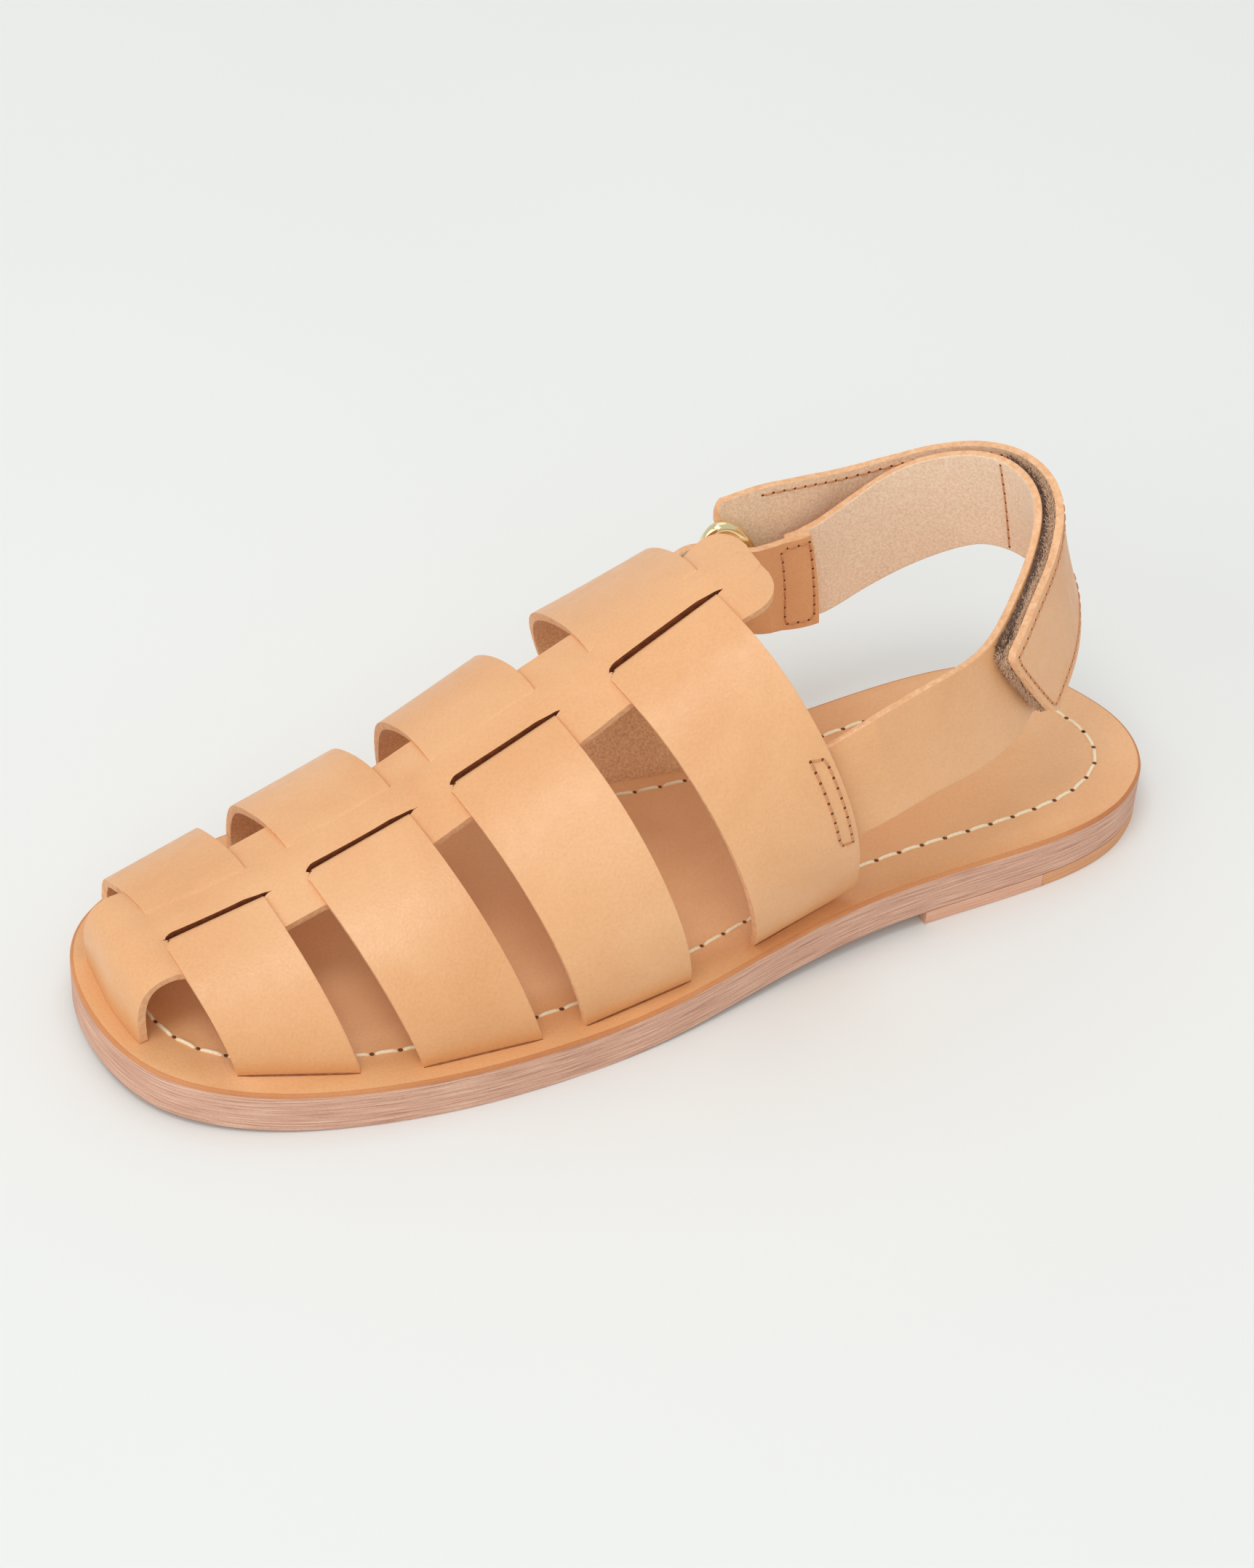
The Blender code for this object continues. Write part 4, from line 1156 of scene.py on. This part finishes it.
def small_parts(name, stacks, look):
    """One mesh of many small closed shapes."""
    stacks = np.concatenate(stacks)
    count, rows, sides, _ = stacks.shape
    pattern = [tuple(range(sides))[::-1], tuple(range((rows - 1) * sides, rows * sides))]
    pattern += grid_faces(rows, sides, cols_round=True)
    faces = [[k * rows * sides + corner for corner in face] for k in range(count) for face in pattern]
    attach(new_object(name, stacks.reshape(-1, 3), faces, (look,)), "root")


def seam(line, normals, pitch, radius, hole):
    """Evenly spaced stitches along a line, and the needle holes between them."""
    length = run_length(line)
    marks = np.linspace(0, length[-1], max(int(round(length[-1] / pitch)), 1) + 1)
    step = marks[1]
    start = along(line, length, marks[:-1] + step * (1 - STITCH_SHARE) / 2)
    end = along(line, length, marks[1:] - step * (1 - STITCH_SHARE) / 2)
    up = unit(along(normals, length, (marks[:-1] + marks[1:]) / 2))
    place = STITCH_BOW[:, 0][None, :, None]
    sink = STITCH_BOW[:, 1][None, :, None]
    paths = start[:, None] + (end - start)[:, None] * place + up[:, None] * radius * sink
    threads = tubes(paths, up, radius * np.array(STITCH_WIDTH), 7)
    spots = along(line, length, marks)
    up = unit(along(normals, length, marks))
    pits = tubes(spots[:, None] + up[:, None] * np.reshape(PIT_DEPTH, (1, -1, 1)),
                 np.gradient(spots, axis=0), hole * np.array(PIT_WIDTH), 8)
    return threads, pits


def on_grid(grid, corners, lift):
    """Line through (row, place across) corners of a grid, lifted off it, with its normals."""
    corners = np.array(corners, float)
    steps = np.linspace(0, len(corners) - 1, 80 * (len(corners) - 1) + 1)
    row, across = (np.interp(steps, np.arange(len(corners)), corners[:, k]) for k in (0, 1))
    column = np.interp(-across, -ACROSS, np.arange(len(ACROSS)))
    i = np.clip(row.astype(int), 0, grid.shape[0] - 2)
    j = np.clip(column.astype(int), 0, grid.shape[1] - 2)
    u = (row - i)[:, None]
    v = (column - j)[:, None]
    facing = unit(np.cross(np.gradient(grid, axis=0), np.gradient(grid, axis=1)))
    made = []
    for values in (grid, facing):
        near = values[i, j] * (1 - v) + values[i, j + 1] * v
        far = values[i + 1, j] * (1 - v) + values[i + 1, j + 1] * v
        made.append(near * (1 - u) + far * u)
    facing = unit(made[1])
    return made[0] + facing * lift, facing * np.sign(lift)


def outer_row(share, across):
    """Row of the closure strap's outer run at a share of the loop."""
    end = np.interp(-across, -ACROSS, slanted(FOLD_SHARE, CLOSURE[0, 0], 2)[1])
    return len(closure) - OUTER_ROWS + (OUTER_ROWS - 1) * (FOLD_SHARE - share) / (FOLD_SHARE - end)


bed_plan, _ = sole_plan(0.0, SOLE_LENGTH, SOLE_STEPS)
bed_line = bed_plan + inward(bed_plan) * STITCH_INSET
bed_line = np.column_stack([bed_line, footbed_top(bed_line[:, 0])])
bed_line = np.vstack([bed_line, bed_line[:1]])
bed_threads, bed_holes = seam(bed_line, np.broadcast_to(UP, bed_line.shape), **BED_SEAM)
small_parts("footbed_stitches", [bed_threads], CREAM_THREAD)
# Painted shadow: thin dark tubes along the outer face of each strap's foot, where it goes into the footbed
feet = []
for number in range(4):
    surface, normal, _ = cross_strap(number)
    for row in (1, -2):
        feet.append(surface[row] + normal[row] * (LEATHER / 2 + 0.1))
feet = np.array(feet)
small_parts("strap_foot_shadows", [tubes(feet, np.broadcast_to(UP, (len(feet), 3)), FOOT_SHADOW_WIDTH, 6)], STRAP_FOOT_SHADOW)

HALF_SKIN = STRAP_LEATHER / 2
TAB_BOX = (14.5, 21.5)
SLING_MARK = np.array((0.610, 0.596))
tab_low, tab_high = np.interp(TAB_BOX, run_length(tab.mean(axis=1)), np.arange(len(tab)))
mark_share = (SLING_MARK - SLING_START) / (SLING_END_SHARE - SLING_START)
mark_high, mark_low = len(SEAT_SHARES) + (SLING_ROWS - 1) * mark_share
tail_end = len(closure) - 2.2
seams = [
    on_grid(closure, [(1.5, 0.86), (15.0, 0.86), (10.5, -0.86), (1.5, -0.86), (1.5, 0.86)], HALF_SKIN),
    on_grid(closure, [(outer_row(0.96, 0.86), 0.86), (outer_row(0.60, 0.86), 0.86)], -HALF_SKIN),
    on_grid(closure, [(outer_row(0.608, 0.85), 0.85), (tail_end, 0.85), (tail_end, -0.85),
                      (outer_row(0.608, -0.85), -0.85)], HALF_SKIN),
    on_grid(sling_rows, [(mark_high, 0.9), (mark_low, -0.9)], HALF_SKIN),
    on_grid(tab, [(tab_low, 0.82), (tab_high, 0.82), (tab_high, -0.82), (tab_low, -0.82)], HALF_SKIN),
]
# Boxes of stitches on the last cross strap, over the sling's seat and over the tab's
SEAT_BOX = [(1.4, 0.93), (5.8, 0.93), (5.8, -0.93), (1.4, -0.93), (1.4, 0.93)]
for side, middle in ((1, 48.5), (-1, TAB_SEAT)):
    patch = np.array([seat_row(share, side, middle, 0.0, 12.6) for share in np.linspace(0.8, 1.0, 9)])
    seams.append(on_grid(patch, SEAT_BOX, -0.001 * side))
brown = [seam(line, normals, **STRAP_SEAM) for line, normals in seams]
small_parts("strap_stitches", [threads for threads, _ in brown], BROWN_THREAD)
# Dark discs for the needle holes, painted shade inside them
small_parts("needle_holes", [bed_holes] + [pits for _, pits in brown], NEEDLE_HOLE)


def fuzz(rim, inner, reach, count):
    """Fibres along a rim of a tape: they start inside it and lean over its edge."""
    length = run_length(rim)
    at = dice.uniform(0, length[-1], count)
    roots = along(rim, length, at)
    out = unit(roots - along(inner, length, at))
    ahead = unit(along(rim, length, at + 0.5) - along(rim, length, at - 0.5))
    face = np.cross(out, ahead)
    roots = roots - out * 0.3 + face * dice.uniform(-0.5, 0.5, (count, 1)) * TAPE_THICK
    lean = out * dice.uniform(0.35, 1.0, (count, 1)) + ahead * dice.normal(0, 0.4, (count, 1))
    lean = lean + face * dice.normal(0, 0.3, (count, 1))
    bend = ahead * dice.normal(0, 0.2, (count, 1)) * reach
    paths = np.stack([roots, roots + lean * reach * 0.55 + bend, roots + lean * reach], axis=1)
    return tubes(paths, face, (0.13, 0.12, 0.05), 3)


hook_top, hook_end, hook_low = ((hook_rows[:, 0], hook_rows[:, 2]), (hook_rows[-1], hook_rows[-4]),
                                (hook_rows[:, -1], hook_rows[:, -3]))
loop_top, loop_end = (loop_rows[:, 0], loop_rows[:, 2]), (loop_rows[-1], loop_rows[-4])
PALE = ((hook_top, 1.7, 3600), (hook_end, 2.0, 1500), (hook_low, 1.2, 1200),
        (loop_top, 2.0, 1300), (loop_end, 1.8, 900))
DARKER = ((loop_top, 2.4, 3600), (loop_end, 1.6, 500))
for name, rims, look in (("pale_fibres", PALE, PALE_FIBRE), ("dark_fibres", DARKER, DARK_FIBRE)):
    small_parts(name, [fuzz(*rim, reach, count) for rim, reach, count in rims], look)

# Oval ring of round wire

RING_STEPS = 96
WIRE_STEPS = 20
turn = np.linspace(0, 2 * math.pi, RING_STEPS, endpoint=False)[:, None]
wire = np.linspace(0, 2 * math.pi, WIRE_STEPS, endpoint=False)[:, None]
tall = RING_HALF_TALL * np.sin(turn)
wide = RING_HALF_GAP * np.cos(turn) + RING_LEAN * tall
tall_slope = RING_HALF_TALL * np.cos(turn)
wide_slope = RING_LEAN * tall_slope - RING_HALF_GAP * np.sin(turn)
oval = (ring_bar(-1) + ring_bar(1)) / 2 + wide * RING_AHEAD + tall * UP
radial = unit(tall_slope * RING_AHEAD - wide_slope * UP)
ring_verts = oval[:, None] + RING_WIRE * (radial[:, None] * np.cos(wire) - RING_OUT * np.sin(wire))
ring_faces = grid_faces(RING_STEPS, WIRE_STEPS, rows_round=True, cols_round=True)
ring = new_object("ring_wire", ring_verts.reshape(-1, 3), ring_faces, (GOLD,))
dress(ring, "ring_metal", "ring")

# Floor, light and camera

floor_look = Look("pale_floor", 0.9)
floor_tones = ((0.3, srgb((237, 239, 237))), (0.7, srgb((239, 241, 239))))
floor_look.colour(floor_look.ramp(floor_look.noise(4, 2), *floor_tones))
bpy.ops.mesh.primitive_plane_add(size=12.0)
floor = bpy.context.object
floor.name = "floor"
floor.data.materials.append(floor_look.material)

world = bpy.data.worlds.new("studio")
bpy.context.scene.world = world
world.use_nodes = True
set_inputs(world.node_tree.nodes["Background"], Color=(1.0, 1.0, 0.99, 1.0), Strength=0.65)

# Soft boxes: name, place, size, power
LIGHTS = (
    ("key", (0.5, 0.3, 1.4), 0.55, 4.4),
    ("top", (-0.3, -0.5, 1.6), 1.6, 2.6),
    ("toe_fill", (5.6, 1.4, 2.6), 4.8, 69.0),
    ("front_fill", (2.4, 4.2, 3.8), 4.0, 42.0),
)
LIGHT_TARGET = Vector((0.0, 0.0, 0.03))
for name, spot, size, power in LIGHTS:
    lamp = bpy.data.lights.new(name, "AREA")
    lamp.shape = "DISK"
    lamp.size = size
    lamp.energy = power
    soft_box = bpy.data.objects.new(name, lamp)
    bpy.context.scene.collection.objects.link(soft_box)
    soft_box.location = spot
    soft_box.rotation_euler = (LIGHT_TARGET - Vector(spot)).to_track_quat("-Z", "Y").to_euler()

CAMERA_SPOT = to_part((405.9, 496.7, 493.9))
CAMERA_TARGET = to_part((127.0, -4.0, 30.0))
CAMERA_ROLL = math.radians(4.02)
CAMERA_LENS = 78.0
camera_data = bpy.data.cameras.new("camera")
camera = bpy.data.objects.new("camera", camera_data)
bpy.context.scene.collection.objects.link(camera)
camera.location = CAMERA_SPOT
aim = Vector(CAMERA_TARGET - CAMERA_SPOT).to_track_quat("-Z", "Y")
camera.rotation_euler = (aim.to_matrix() @ Matrix.Rotation(CAMERA_ROLL, 3, "Z")).to_euler()
camera_data.sensor_width = 36.0
camera_data.lens = CAMERA_LENS
camera_data.clip_start = 0.01
bpy.context.scene.camera = camera
bpy.context.scene.view_settings.view_transform = "Standard"
